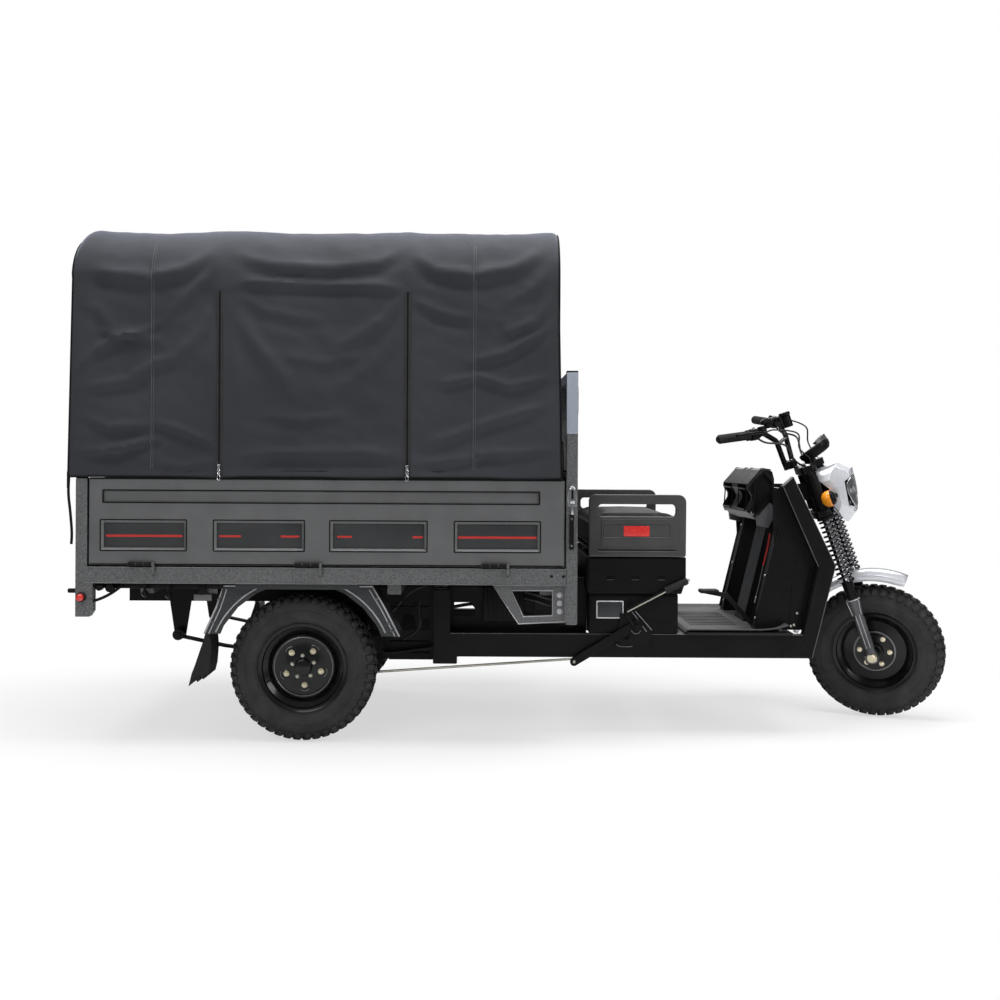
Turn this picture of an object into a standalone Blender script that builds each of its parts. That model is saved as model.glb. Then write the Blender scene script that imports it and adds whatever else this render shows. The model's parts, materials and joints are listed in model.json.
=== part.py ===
"""Electric cargo tricycle with a drop-side cargo bed and a fabric canopy, built from its real pieces.

Metres, +X forward, +Y to the left, +Z up. The origin is on the floor under the middle of the machine.
It stands on its three wheels, with the handlebar turned to the right as it was parked.
"""

import math

import bmesh
import bpy
from mathutils import Matrix, Vector

# Fits
GAP = 0.0003
RUNNING = 0.006

# Wheels and axles
TYRE_R = 0.278
TYRE_W = 0.115
RIM_R = 0.168
RIM_W = 0.094
BORE_R = 0.0180
PIN_FIT = 0.0006
REAR_AXLE_X = -0.866
WHEELBASE = 2.316
TRACK = 1.000
TYRE_STEPS = 30
RIM_STEPS = 16
FRONT_LIFT = 0.00122

# Steering: the axis leans back by RAKE, and the wheel centre lies FORK_OFFSET ahead of it
RAKE = math.radians(19.0)
FORK_OFFSET = 0.043
PARKED_STEER = math.radians(-24.0)
LEG_SPAN = 0.230
STANCHION_R = 0.0150
LOWER_LEG_R = 0.0200
SPRING_R = 0.0280
SPRING_WIRE = 0.0045
SPRING_BOTTOM = 0.335
SPRING_TOP = 0.600
SPRING_TURNS = 8
YOKE_T = 0.030
YOKE_NOSE = 0.045
LOWER_YOKE = 0.605
UPPER_YOKE = 0.795
HEAD_TUBE_R = 0.030
STEM_R = 0.016

# Side frames and chassis
FRAME_HALF = 0.400
FRAME_T = 0.040
RAIL_BOTTOM = 0.300
RAIL_TOP = 0.391
LADDER_HALF = 0.310
LADDER_T = 0.040
LADDER_BOTTOM = 0.500
LADDER_TOP = 0.560
POST_REAR = -0.383
POST_T = 0.066

STORAGE_FRONT = 0.968

# Cargo bed
BED_REAR = -1.681
BED_FRONT = 0.153
BED_HALF = 0.660
SILL_BOTTOM = 0.603
SILL_TOP = 0.663
SILL_W = 0.045
FLOOR_T = 0.004
GATE_T = 0.032
GATE_TOP = 0.985
GATE_GAP = 0.006
POST_W = 0.042
TAIL_POST_BOTTOM = 0.480
HEAD_POST_BOTTOM = 0.459
HEAD_POST_T = 0.042
HEADBOARD_TOP = 1.385
HINGE_R = 0.006
HINGE_PIN_R = 0.003
HINGE_OUT = 0.012
HINGE_RISE = 0.006
EAR_T = 0.008

# Canopy
CANOPY_RISE = 0.940
CANOPY_TOP = GATE_TOP + CANOPY_RISE
CANOPY_CROWN = 0.018
CANOPY_SHOULDER = 0.210
CANOPY_HALF = BED_HALF + 0.004
CANOPY_REAR = BED_REAR - 0.034
CANOPY_FRONT = BED_FRONT - 0.068
CANOPY_T = 0.006
CANOPY_HEM = GATE_TOP + 0.013
CANOPY_FRONT_HEM = GATE_TOP + 0.180
CANOPY_CORNER = 0.090
BOW_PLACES = (BED_REAR + 0.026, BED_REAR + 0.579, BED_FRONT - 0.633, BED_FRONT - 0.105)
BOW_R = 0.011

# Seat
SEAT_REAR = 0.210
SEAT_FRONT = 0.589
SEAT_HALF = 0.430
ARMREST_T = 0.030
ARMREST_TOP = 0.930
ARMREST_BOTTOM = 0.690
CUSHION_TOP = 0.858
LID_BOTTOM = 0.706
LID_T = 0.012

FRONT_AXLE_X = REAR_AXLE_X + WHEELBASE
HALF_TRACK = TRACK / 2
FRAME_INNER = FRAME_HALF - FRAME_T
GATE_BOTTOM = SILL_TOP + GATE_GAP
GATE_INNER = BED_HALF - GATE_T
GATE_REAR = BED_REAR + POST_W + GATE_GAP
GATE_FRONT = BED_FRONT - HEAD_POST_T - GATE_GAP
SILL_FRONT = BED_FRONT - HEAD_POST_T - GAP
FLOOR_TOP = SILL_TOP - 0.0005

COLOURS = {
    "frame_black": ((0.012, 0.012, 0.013), 0.35, 0.0),
    "bed_grey": ((0.085, 0.087, 0.090), 0.42, 0.3),
    "canvas": ((0.040, 0.040, 0.046), 0.85, 0.0),
    "rubber": ((0.012, 0.012, 0.012), 0.85, 0.0),
    "plastic": ((0.015, 0.015, 0.016), 0.5, 0.0),
    "rim_black": ((0.008, 0.008, 0.009), 0.18, 0.2),
    "chrome": ((0.60, 0.60, 0.62), 0.15, 1.0),
    "silver": ((0.75, 0.76, 0.79), 0.30, 0.2),
    "lens": ((0.80, 0.85, 0.90), 0.08, 0.0),
    "red": ((0.60, 0.02, 0.02), 0.25, 0.0),
    "amber": ((0.90, 0.28, 0.02), 0.20, 0.0),
    "cushion": ((0.020, 0.020, 0.021), 0.6, 0.0),
}


def start_scene():
    for existing in list(bpy.data.objects):
        bpy.data.objects.remove(existing, do_unlink=True)
    group = bpy.data.collections.new("cargo_tricycle")
    bpy.context.scene.collection.children.link(group)
    return group


PARTS = start_scene()


def material(slot):
    found = bpy.data.materials.get(slot)
    if found:
        return found
    colour, roughness, metallic = COLOURS[slot]
    made = bpy.data.materials.new(slot)
    made.use_nodes = True
    shader = made.node_tree.nodes["Principled BSDF"]
    shader.inputs["Base Color"].default_value = (*colour, 1.0)
    shader.inputs["Roughness"].default_value = roughness
    shader.inputs["Metallic"].default_value = metallic
    return made


def piece(mesh):
    """A loose piece, still to be joined into a part."""
    made = bpy.data.objects.new("piece", mesh)
    PARTS.objects.link(made)
    return made


def from_bmesh(shape):
    mesh = bpy.data.meshes.new("piece")
    shape.to_mesh(mesh)
    shape.free()
    return piece(mesh)


def baked(source):
    """The evaluated shape of an object as a plain mesh piece, welded and facing out."""
    bpy.context.view_layer.update()
    graph = bpy.context.evaluated_depsgraph_get()
    mesh = bpy.data.meshes.new_from_object(source.evaluated_get(graph))
    mesh.transform(source.matrix_world)
    shape = bmesh.new()
    shape.from_mesh(mesh)
    bmesh.ops.remove_doubles(shape, verts=shape.verts, dist=0.00001)
    bmesh.ops.recalc_face_normals(shape, faces=shape.faces)
    bpy.data.objects.remove(source, do_unlink=True)
    bpy.data.meshes.remove(mesh)
    return from_bmesh(shape)


def box(x, y, z, bevel=0.0):
    """A box between pairs of limits, with bevelled edges where asked."""
    shape = bmesh.new()
    bmesh.ops.create_cube(shape, size=1.0)
    size = Vector((x[1] - x[0], y[1] - y[0], z[1] - z[0]))
    centre = Vector((x[0] + x[1], y[0] + y[1], z[0] + z[1])) / 2
    bmesh.ops.scale(shape, vec=size, verts=shape.verts)
    bmesh.ops.translate(shape, vec=centre, verts=shape.verts)
    if bevel:
        bmesh.ops.bevel(shape, geom=shape.edges, offset=bevel, segments=1, affect="EDGES")
    return from_bmesh(shape)


def rod(start, end, radius, sides=16):
    """A round bar between two points."""
    start = Vector(start)
    along = Vector(end) - start
    shape = bmesh.new()
    bmesh.ops.create_cone(
        shape, cap_ends=True, segments=sides, radius1=radius, radius2=radius, depth=along.length
    )
    turn = along.to_track_quat("Z", "Y").to_matrix().to_4x4()
    shape.transform(Matrix.Translation(start + along / 2) @ turn)
    return from_bmesh(shape)


PLANES = {
    "XZ": Matrix(((1, 0, 0, 0), (0, 0, -1, 0), (0, 1, 0, 0), (0, 0, 0, 1))),
    "XY": Matrix.Identity(4),
    "YZ": Matrix(((0, 0, 1, 0), (1, 0, 0, 0), (0, 1, 0, 0), (0, 0, 0, 1))),
}


def plate(outlines, low, high, plane="XZ", bevel=0.0):
    """A flat outline, with any holes after it, given thickness from low to high across its plane."""
    curve = bpy.data.curves.new("outline", "CURVE")
    curve.dimensions = "2D"
    curve.fill_mode = "BOTH"
    curve.extrude = (high - low) / 2
    for outline in outlines:
        spline = curve.splines.new("POLY")
        spline.points.add(len(outline) - 1)
        for point, (u, v) in zip(spline.points, outline):
            point.co = (u, v, 0.0, 1.0)
        spline.use_cyclic_u = True
    drawn = bpy.data.objects.new("outline", curve)
    PARTS.objects.link(drawn)
    middle = (low + high) / 2
    across = {"XZ": (0, middle, 0), "XY": (0, 0, middle), "YZ": (middle, 0, 0)}[plane]
    drawn.matrix_world = Matrix.Translation(across) @ PLANES[plane]
    flat = baked(drawn)
    if bevel:
        edge = flat.modifiers.new("edge", "BEVEL")
        edge.width = bevel
        edge.segments = 1
        edge.limit_method = "ANGLE"
        flat = baked(flat)
    return flat


def tube(points, radius, resolution=2, closed=False):
    """A round tube or wire along the points."""
    curve = bpy.data.curves.new("tube", "CURVE")
    curve.dimensions = "3D"
    curve.bevel_depth = radius
    curve.bevel_resolution = resolution
    curve.use_fill_caps = True
    spline = curve.splines.new("POLY")
    spline.points.add(len(points) - 1)
    for point, place in zip(spline.points, points):
        point.co = (*place, 1.0)
    spline.use_cyclic_u = closed
    drawn = bpy.data.objects.new("tube", curve)
    PARTS.objects.link(drawn)
    return baked(drawn)


def rounded(points, radius, steps=4):
    """The same path with each inner corner turned into an arc."""
    path = [Vector(points[0])]
    for before, corner, after in zip(points, points[1:], points[2:]):
        corner = Vector(corner)
        back = Vector(before) - corner
        ahead = Vector(after) - corner
        half = back.angle(ahead) / 2
        reach = min(radius / math.tan(half), back.length * 0.45, ahead.length * 0.45)
        start = corner + back.normalized() * reach
        end = corner + ahead.normalized() * reach
        for step in range(steps + 1):
            t = step / steps
            path.append(start * (1 - t) ** 2 + corner * 2 * t * (1 - t) + end * t * t)
    path.append(Vector(points[-1]))
    return path


def turned(profile, steps):
    """A profile of (radius, offset) pairs turned about the Y axis."""
    mesh = bpy.data.meshes.new("profile")
    edges = [(i, i + 1) for i in range(len(profile) - 1)]
    if profile[0][0] > 0:
        edges.append((len(profile) - 1, 0))
    mesh.from_pydata([(r, 0.0, w) for r, w in profile], edges, [])
    drawn = piece(mesh)
    screw = drawn.modifiers.new("turn", "SCREW")
    screw.steps = steps
    screw.render_steps = steps
    screw.use_merge_vertices = True
    screw.merge_threshold = 0.00005
    drawn.matrix_world = PLANES["XZ"].inverted() @ Matrix.Identity(4)
    return baked(drawn)


def moved(shape, offset=(0, 0, 0), turn=None):
    matrix = Matrix.Translation(offset)
    if turn is not None:
        matrix = matrix @ turn
    shape.data.transform(matrix)
    return shape


def mirrored(shape):
    """A copy of a piece on the other side of the XZ plane."""
    copy = bmesh.new()
    copy.from_mesh(shape.data)
    bmesh.ops.scale(copy, vec=(1, -1, 1), verts=copy.verts)
    bmesh.ops.reverse_faces(copy, faces=copy.faces)
    return from_bmesh(copy)


def combined(base, others, operation):
    """One Boolean of a base piece with several others."""
    group = bpy.data.collections.new("operands")
    bpy.context.scene.collection.children.link(group)
    for other in others:
        group.objects.link(other)
        PARTS.objects.unlink(other)
    boolean = base.modifiers.new("boolean", "BOOLEAN")
    boolean.operation = operation
    boolean.operand_type = "COLLECTION"
    boolean.collection = group
    boolean.solver = "EXACT"
    made = baked(base)
    for other in others:
        bpy.data.objects.remove(other, do_unlink=True)
    bpy.data.collections.remove(group)
    return made


def joined(*pieces):
    return combined(pieces[0], pieces[1:], "UNION") if len(pieces) > 1 else pieces[0]


def cut(base, *cutters):
    return combined(base, cutters, "DIFFERENCE")


def part(name, shape, slot, parent=None):
    """Name a finished piece, colour it and hang it on its parent."""
    shape.name = name
    shape.data.name = name
    shape.data.materials.clear()
    shape.data.materials.append(material(slot))
    shape.data.shade_smooth()
    shape.data.set_sharp_from_angle(angle=math.radians(35))
    if parent:
        shape.parent = parent
    return shape


def pivot(name, matrix):
    """An empty on a joint's axis."""
    made = bpy.data.objects.new(name, None)
    made.matrix_world = matrix
    PARTS.objects.link(made)
    return made


def hung(name, shape, slot, parent):
    """A part modelled in world places, moved into its pivot's own frame."""
    bpy.context.view_layer.update()
    shape.data.transform(parent.matrix_world.inverted())
    return part(name, shape, slot, parent)


def arc(centre, radius, start, end, steps):
    """Points on an arc in a plane, with its angles in degrees."""
    turns = [math.radians(start + (end - start) * i / steps) for i in range(steps + 1)]
    return [(centre[0] + radius * math.cos(a), centre[1] + radius * math.sin(a)) for a in turns]


# Wheels

BEAD_R = 0.1535
FLANGE_T = 0.004
WELL_R = 0.137
DRUM_R = 0.085
DRUM_DEPTH = 0.055
HUB_CAP_R = 0.032


def tyre_section():
    """Tyre outline from bead to bead: it sits between the flanges and bulges over them."""
    half = TYRE_W / 2
    seat = RIM_W / 2 - FLANGE_T
    right = [
        (BEAD_R + 0.0017, seat - 0.003),
        (RIM_R - 0.002, seat - 0.0005),
        (RIM_R + 0.002, half - 0.009),
        (RIM_R + 0.038, half),
        (TYRE_R - 0.034, half),
        (TYRE_R - 0.012, half - 0.008),
        (TYRE_R - 0.002, half - 0.024),
    ]
    left = [(r, -w) for r, w in reversed(right)]
    return right + [(TYRE_R, 0.0)] + left


def rim_outside(side):
    """The half of a rim's outline from its disc out to one flange and back to the well's middle."""
    flange = RIM_W / 2
    return [
        (WELL_R - 0.004, side * 0.018),
        (BEAD_R - 0.004, side * 0.030),
        (RIM_R - 0.003, side * flange),
        (RIM_R - 0.003, side * (flange - FLANGE_T)),
        (BEAD_R, side * (flange - FLANGE_T - 0.001)),
        (BEAD_R, side * 0.028),
        (WELL_R, side * 0.017),
    ]


def rear_rim():
    """Rim, dished disc and brake drum in one profile; outboard is +, the bore is blind."""
    profile = [(0.0, 0.046), (0.029, 0.046), (HUB_CAP_R, 0.042), (HUB_CAP_R, 0.022)]
    profile += [(0.078, 0.020), (0.118, 0.008)]
    profile += rim_outside(1)
    profile += list(reversed(rim_outside(-1)))
    profile += [(DRUM_R, 0.002), (DRUM_R, -DRUM_DEPTH)]
    profile += [(BORE_R, -DRUM_DEPTH), (BORE_R, 0.016), (0.0, 0.016)]
    return turned(profile, RIM_STEPS)


def front_rim():
    """The front wheel has a drum on its right side, and the axle runs right through it."""
    profile = [(BORE_R, 0.050), (0.034, 0.050), (0.036, 0.020), (0.078, 0.018)]
    profile += [(0.118, 0.008)]
    profile += rim_outside(1)
    profile += list(reversed(rim_outside(-1)))
    profile += [(DRUM_R, 0.002), (DRUM_R, -0.040)]
    profile += [(0.078, -0.050), (BORE_R, -0.050)]
    return turned(profile, RIM_STEPS)


def place_wheel(name, pivot_object, rim, flip):
    turn = Matrix.Rotation(math.pi, 4, "Z") if flip else Matrix.Identity(4)
    tyre = turned(tyre_section(), TYRE_STEPS)
    down = pivot_object.matrix_world.to_3x3().inverted() @ Vector((0, 0, -1))
    to_floor = Matrix.Rotation(math.atan2(down.x, down.z) - math.pi / 2, 4, "Y")
    moved(tyre, turn=to_floor)
    moved(rim, turn=turn)
    part(f"{name}_tyre", tyre, "rubber", pivot_object)
    part(f"{name}_rim", rim, "rim_black", pivot_object)


# Frame of the machine

FRAME_OUTLINE = [
    (POST_REAR, LADDER_TOP),
    (POST_REAR, 0.272),
    (-0.290, 0.272),
    (-0.290, RAIL_BOTTOM),
    (1.081, RAIL_BOTTOM),
    (1.171, 0.657),
    (1.0045, 1.001),
    (0.967, 0.963),
    (1.105, 0.655),
    (1.046, RAIL_TOP),
    (POST_REAR + POST_T, RAIL_TOP),
    (POST_REAR + POST_T, LADDER_TOP),
]

SPRING_EYE_FRONT = (-0.352, 0.335)
SPRING_EYE_REAR = (-1.380, 0.372)
EYE_R = 0.022
EYE_PIN_R = 0.010
LEAF_HALF = 0.335
LEAF_W = 0.044


def side_frame(side):
    """The bent box rail of one side, with the pin that carries the front eye of the leaf spring."""
    outer = side * FRAME_HALF
    inner = side * FRAME_INNER
    rail = plate([FRAME_OUTLINE], min(outer, inner), max(outer, inner), bevel=0.003)
    x, z = SPRING_EYE_FRONT
    pin = rod((x, side * (FRAME_INNER + 0.01), z), (x, side * (LEAF_HALF - LEAF_W / 2), z), EYE_PIN_R, 10)
    return joined(rail, pin)


def ladder():
    """Two upper rails with cross members, which carry the bed over the rear axle."""
    rear = BED_REAR + 0.10
    front = 0.11
    pieces = []
    for side in (-1, 1):
        y = sorted((side * LADDER_HALF, side * (LADDER_HALF - LADDER_T)))
        pieces.append(box((rear, front), y, (LADDER_BOTTOM, LADDER_TOP)))
    for x in (rear + 0.02, -1.10, 0.05):
        reach = LADDER_HALF - LADDER_T / 2
        pieces.append(box((x, x + 0.05), (-reach, reach), (LADDER_BOTTOM + 0.01, LADDER_TOP - 0.01)))
    reach = FRAME_INNER - GAP
    x = POST_REAR + 0.01
    pieces.append(box((x, x + 0.045), (-reach, reach), (LADDER_BOTTOM + 0.004, LADDER_TOP - 0.004)))
    x, z = SPRING_EYE_REAR
    for side in (-1, 1):
        inner = side * (LEAF_HALF - LEAF_W / 2 - 0.004)
        hanger = plate(
            [[(x - 0.020, z - 0.016), (x + 0.020, z - 0.016), (x + 0.045, LADDER_BOTTOM + 0.02),
              (x - 0.045, LADDER_BOTTOM + 0.02)]],
            min(inner, inner - side * 0.008), max(inner, inner - side * 0.008),
        )
        pin = rod((x, inner - side * 0.004, z), (x, side * (LEAF_HALF + LEAF_W / 2), z), EYE_PIN_R, 10)
        pieces += [hanger, pin]
    return joined(*pieces)


def steering_head():
    """Cross tubes between the side frames, with the raked head tube ahead of them."""
    reach = FRAME_INNER - GAP
    low = box((0.985, 1.035), (-reach, reach), (RAIL_BOTTOM + 0.008, RAIL_TOP - 0.008))
    rear_low = box((0.600, 0.640), (-reach, reach), (RAIL_BOTTOM + 0.008, RAIL_TOP - 0.008))
    high = box((STORAGE_FRONT + GAP, 1.008), (-reach, reach), (0.905, 0.955))
    neck = box((0.980, axis_point(0.72).x), (-0.038, 0.038), (0.900, 0.968))
    down = plate(
        [[(0.990, 0.330), (1.030, 0.330), (1.115, 0.660), (1.110, 0.920), (1.060, 0.920), (1.070, 0.665)]],
        -0.025, 0.025,
    )
    spine = box((0.610, 1.000), (-0.030, 0.030), (RAIL_BOTTOM + 0.014, RAIL_TOP - 0.014))
    head = rod(axis_point(LOWER_YOKE + YOKE_T + RUNNING), axis_point(UPPER_YOKE - RUNNING), HEAD_TUBE_R, 18)
    whole = joined(low, rear_low, high, neck, down, spine, head)
    bore = rod(axis_point(LOWER_YOKE), axis_point(UPPER_YOKE + 0.05), STEM_R + PIN_FIT, 16)
    return cut(whole, bore)


# Steering frame: x forward across the axis, y left, z up along the axis, from the level of the hub

AXIS_X = Vector((math.cos(RAKE), 0, math.sin(RAKE)))
AXIS_Z = Vector((-math.sin(RAKE), 0, math.cos(RAKE)))
HUB = Vector((FRONT_AXLE_X, 0, TYRE_R + FRONT_LIFT))
AXIS_FOOT = HUB - AXIS_X * FORK_OFFSET


def axis_point(height):
    return AXIS_FOOT + AXIS_Z * height


def steering_matrix():
    straight = Matrix.Translation(AXIS_FOOT) @ Matrix.Rotation(-RAKE, 4, "Y")
    return straight @ Matrix.Rotation(PARKED_STEER, 4, "Z")


def fork():
    """Yokes, stem, stanchions, lower legs and the axle, as one welded and clamped unit."""
    half = LEG_SPAN / 2
    yoke = [
        (-0.028, -0.035), (-0.028, 0.035), (0.020, half + 0.024), (FORK_OFFSET + 0.026, half + 0.024),
        (FORK_OFFSET + 0.030, half - 0.010), (YOKE_NOSE, 0.030), (YOKE_NOSE, -0.030),
        (FORK_OFFSET + 0.030, -half + 0.010), (FORK_OFFSET + 0.026, -half - 0.024), (0.020, -half - 0.024),
    ]
    pieces = [
        plate([yoke], LOWER_YOKE, LOWER_YOKE + YOKE_T, "XY"),
        plate([yoke], UPPER_YOKE, UPPER_YOKE + YOKE_T, "XY"),
        rod((0, 0, LOWER_YOKE + 0.005), (0, 0, UPPER_YOKE + YOKE_T - 0.004), STEM_R, 16),
    ]
    for side in (-1, 1):
        y = side * half
        pieces.append(rod((FORK_OFFSET, y, 0.10), (FORK_OFFSET, y, UPPER_YOKE + YOKE_T + 0.006), STANCHION_R, 10))
        pieces.append(rod((FORK_OFFSET, y, -0.020), (FORK_OFFSET, y, 0.262), LOWER_LEG_R, 10))
        pieces.append(rod((FORK_OFFSET, y, 0.255), (FORK_OFFSET, y, 0.325), 0.026, 10))
        pieces.append(rod((FORK_OFFSET, y, SPRING_BOTTOM - 0.014), (FORK_OFFSET, y, SPRING_BOTTOM - 0.0048),
                          SPRING_R + 0.004, 10))
    pieces.append(rod((FORK_OFFSET, -half - 0.030, 0), (FORK_OFFSET, half + 0.030, 0), BORE_R - PIN_FIT, 16))
    return joined(*pieces)


def coil_spring(side):
    """An open coil round its stanchion, between the leg's collar and the lower yoke."""
    per_turn = 8
    count = SPRING_TURNS * per_turn
    low = SPRING_BOTTOM
    high = SPRING_TOP
    points = []
    for i in range(count + 1):
        angle = 2 * math.pi * i / per_turn
        x = FORK_OFFSET + SPRING_R * math.cos(angle)
        y = side * LEG_SPAN / 2 + SPRING_R * math.sin(angle)
        points.append((x, y, low + (high - low) * i / count))
    return tube(points, SPRING_WIRE, 0)


BAR_R = 0.0110
BAR_BEND = Vector((-0.070, -0.190, 1.010))
BAR_END = Vector((-0.204, -0.385, 1.050))
GRIP_LENGTH = 0.160
GRIP_CAP = 0.006


def bar_side(point, side):
    """A point given for the right-hand end of the bar, on the side asked for."""
    return Vector((point.x, -side * point.y, point.z))


def grip_start(side):
    along = (BAR_END - BAR_BEND).normalized()
    return bar_side(BAR_END - along * (GRIP_LENGTH - GRIP_CAP - GAP), side)


def grip_along(side):
    return bar_side((BAR_END - BAR_BEND).normalized(), side)


def handlebar():
    """Bent bar with its two risers, switch clusters, levers and the reservoir on the left."""
    foot = UPPER_YOKE + YOKE_T + 0.014
    right_half = [
        (-0.045, 0.0, foot), (-0.048, -0.085, foot), (-0.045, -0.115, 0.960), tuple(BAR_BEND), tuple(BAR_END),
    ]
    left_half = [(x, -y, z) for x, y, z in reversed(right_half[1:])]
    bar = tube(rounded(left_half + right_half, 0.03, 2), BAR_R, 1)
    clamp = box((-0.060, -0.015), (-0.040, 0.040), (UPPER_YOKE + YOKE_T + GAP, foot + 0.014), 0.003)
    pieces = [bar, clamp]
    for side in (-1, 1):
        grip_in = grip_start(side)
        along = grip_along(side)
        pieces.append(rod(grip_in - along * 0.012, grip_in - along * 0.052, 0.023, 10))
        lever = [grip_in - along * 0.060, grip_in + Vector((0.055, 0, 0.004)),
                 grip_in + along * 0.11 + Vector((0.060, 0, 0.0))]
        pieces.append(tube(rounded(lever, 0.02, 2), 0.006, 0))
        pieces.append(rod(grip_in - along * 0.055, grip_in - along * 0.085, 0.017, 10))
    top = Vector((-0.028, 0.150, 1.052))
    pieces.append(rod(top - Vector((0, 0, 0.070)), top, 0.024, 12))
    return joined(*pieces)


def grip(side):
    start = grip_start(side)
    along = grip_along(side)
    sleeve = joined(rod(start, start + along * GRIP_LENGTH, 0.0165, 14),
                    rod(start, start + along * 0.008, 0.022, 14))
    return cut(sleeve, rod(start - along * 0.01, start + along * (GRIP_LENGTH - GRIP_CAP), BAR_R + 2 * GAP, 16))


def gauge():
    """Flat instrument pod on its bracket over the upper yoke."""
    slab = box((-0.012, 0.126), (-0.070, 0.070), (-0.012, 0.016), 0.006)
    moved(slab, (0.006, 0, 0.862), Matrix.Rotation(math.radians(-19), 4, "Y"))
    stalk = box((0.020, 0.060), (-0.030, 0.030), (UPPER_YOKE + YOKE_T + GAP, 0.885))
    return joined(slab, stalk)


COWL_HALF = 0.085
COWL = [(0.082, 0.610), (0.112, 0.550), (0.156, 0.582), (0.188, 0.700), (0.184, 0.770), (0.148, 0.799),
        (0.046, 0.790), (0.082, 0.720)]


def headlamp_cowl():
    shell = plate([COWL], -COWL_HALF, COWL_HALF, bevel=0.012)
    arm = box((YOKE_NOSE + GAP, 0.110), (-0.029, 0.029), (LOWER_YOKE + 0.006, LOWER_YOKE + 0.026))
    socket = box((0.160, 0.230), (-0.060, 0.060), (0.600, 0.735))
    return cut(joined(shell, arm), socket)


def headlamp_lens():
    face = [(0.1605, 0.606), (0.174, 0.612), (0.194, 0.700), (0.194, 0.724), (0.1605, 0.728)]
    return plate([face], -0.0595, 0.0595)


def indicator(side):
    start = Vector((0.104, side * (COWL_HALF + GAP), 0.675))
    stalk = rod(start, start + Vector((0, side * 0.045, 0)), 0.007, 10)
    lamp = rod(start + Vector((-0.042, side * 0.057, 0)), start + Vector((0.010, side * 0.057, 0)), 0.023, 14)
    return joined(stalk, lamp)


def front_fender():
    """Arched blade over the wheel, with lips, on two stays to the lower legs."""
    centre = (FORK_OFFSET, 0.0)
    outer = arc(centre, 0.338, 50, 150, 12)
    inner = arc(centre, 0.330, 150, 50, 12)
    blade = plate([outer + inner], -0.066, 0.066)
    pieces = [blade]
    for side in (-1, 1):
        lip = plate([arc(centre, 0.336, 52, 148, 12) + arc(centre, 0.306, 148, 52, 12)],
                    *sorted((side * 0.0655, side * 0.0615)))
        stay = box((FORK_OFFSET - 0.012, FORK_OFFSET + 0.012),
                   sorted((side * 0.064, side * (LEG_SPAN / 2 - 0.026 - GAP))), (0.296, 0.312))
        pieces += [lip, stay]
    return joined(*pieces)


# Axle and suspension

def leaf_arc(span_from, span_to, top, thick):
    """A gently sagging leaf between two places along the machine."""
    x0, z0 = SPRING_EYE_FRONT
    x1, z1 = SPRING_EYE_REAR
    steps = 6

    def height(x):
        t = (x - x1) / (x0 - x1)
        return z1 + (z0 - z1) * t - 0.055 * 4 * t * (1 - t) + top

    xs = [span_from + (span_to - span_from) * i / steps for i in range(steps + 1)]
    return [(x, height(x)) for x in xs] + [(x, height(x) - thick) for x in reversed(xs)]


AXLE_R = 0.026
BRAKE_ARM_X = -0.800
BRAKE_ARM_Y = HALF_TRACK - DRUM_DEPTH - RUNNING - 0.0268


def rear_axle():
    """Axle tube with its motor and gear case, back plates and the two leaf packs clamped on it."""
    plate_out = HALF_TRACK - DRUM_DEPTH - RUNNING
    stub = HALF_TRACK + 0.010
    x, z = REAR_AXLE_X, TYRE_R
    pieces = [rod((x, -plate_out + 0.01, z), (x, plate_out - 0.01, z), AXLE_R, 12)]
    pieces.append(rod((x, -stub, z), (x, stub, z), BORE_R - PIN_FIT, 16))
    for side in (-1, 1):
        pieces.append(rod((x, side * (plate_out - 0.014), z), (x, side * plate_out, z), DRUM_R, 14))
    pieces.append(box((BRAKE_ARM_X - 0.030, BRAKE_ARM_X),
                      (-BRAKE_ARM_Y - 0.017, -BRAKE_ARM_Y + 0.012),
                      (0.214, 0.242)))
    pieces.append(rod((x, 0.020, z), (x, 0.110, z), 0.100, 12))
    pieces.append(rod((x + 0.020, -0.160, z + 0.045), (x + 0.020, 0.030, z + 0.045), 0.078, 12))
    x0, z0 = SPRING_EYE_FRONT
    x1, z1 = SPRING_EYE_REAR
    for side in (-1, 1):
        y = sorted((side * (LEAF_HALF - LEAF_W / 2 + GAP), side * (LEAF_HALF + LEAF_W / 2 - 0.006)))
        main = plate([leaf_arc(x1 + 0.010, x0 - 0.010, 0.0, 0.009)], *y)
        second = plate([leaf_arc(x1 + 0.22, x0 - 0.20, -0.0085, 0.014)], *y)
        pieces += [main, second]
        for ex, ez in (SPRING_EYE_FRONT, SPRING_EYE_REAR):
            eye = cut(rod((ex, y[0], ez), (ex, y[1], ez), EYE_R, 12),
                      rod((ex, y[0] - 0.01, ez), (ex, y[1] + 0.01, ez), EYE_PIN_R + 2 * GAP, 10))
            pieces.append(eye)
        pieces.append(box((x - 0.045, x + 0.045), y, (z + 0.006, z + 0.042)))
    return joined(*pieces)


# Cargo bed

SIDE_HINGES = ((-1.487, -1.399), (-0.881, -0.789), (-0.198, -0.106))
TAIL_HINGES = ((-0.450, -0.360), (0.360, 0.450))
HINGE_Z = GATE_BOTTOM + HINGE_RISE


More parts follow.
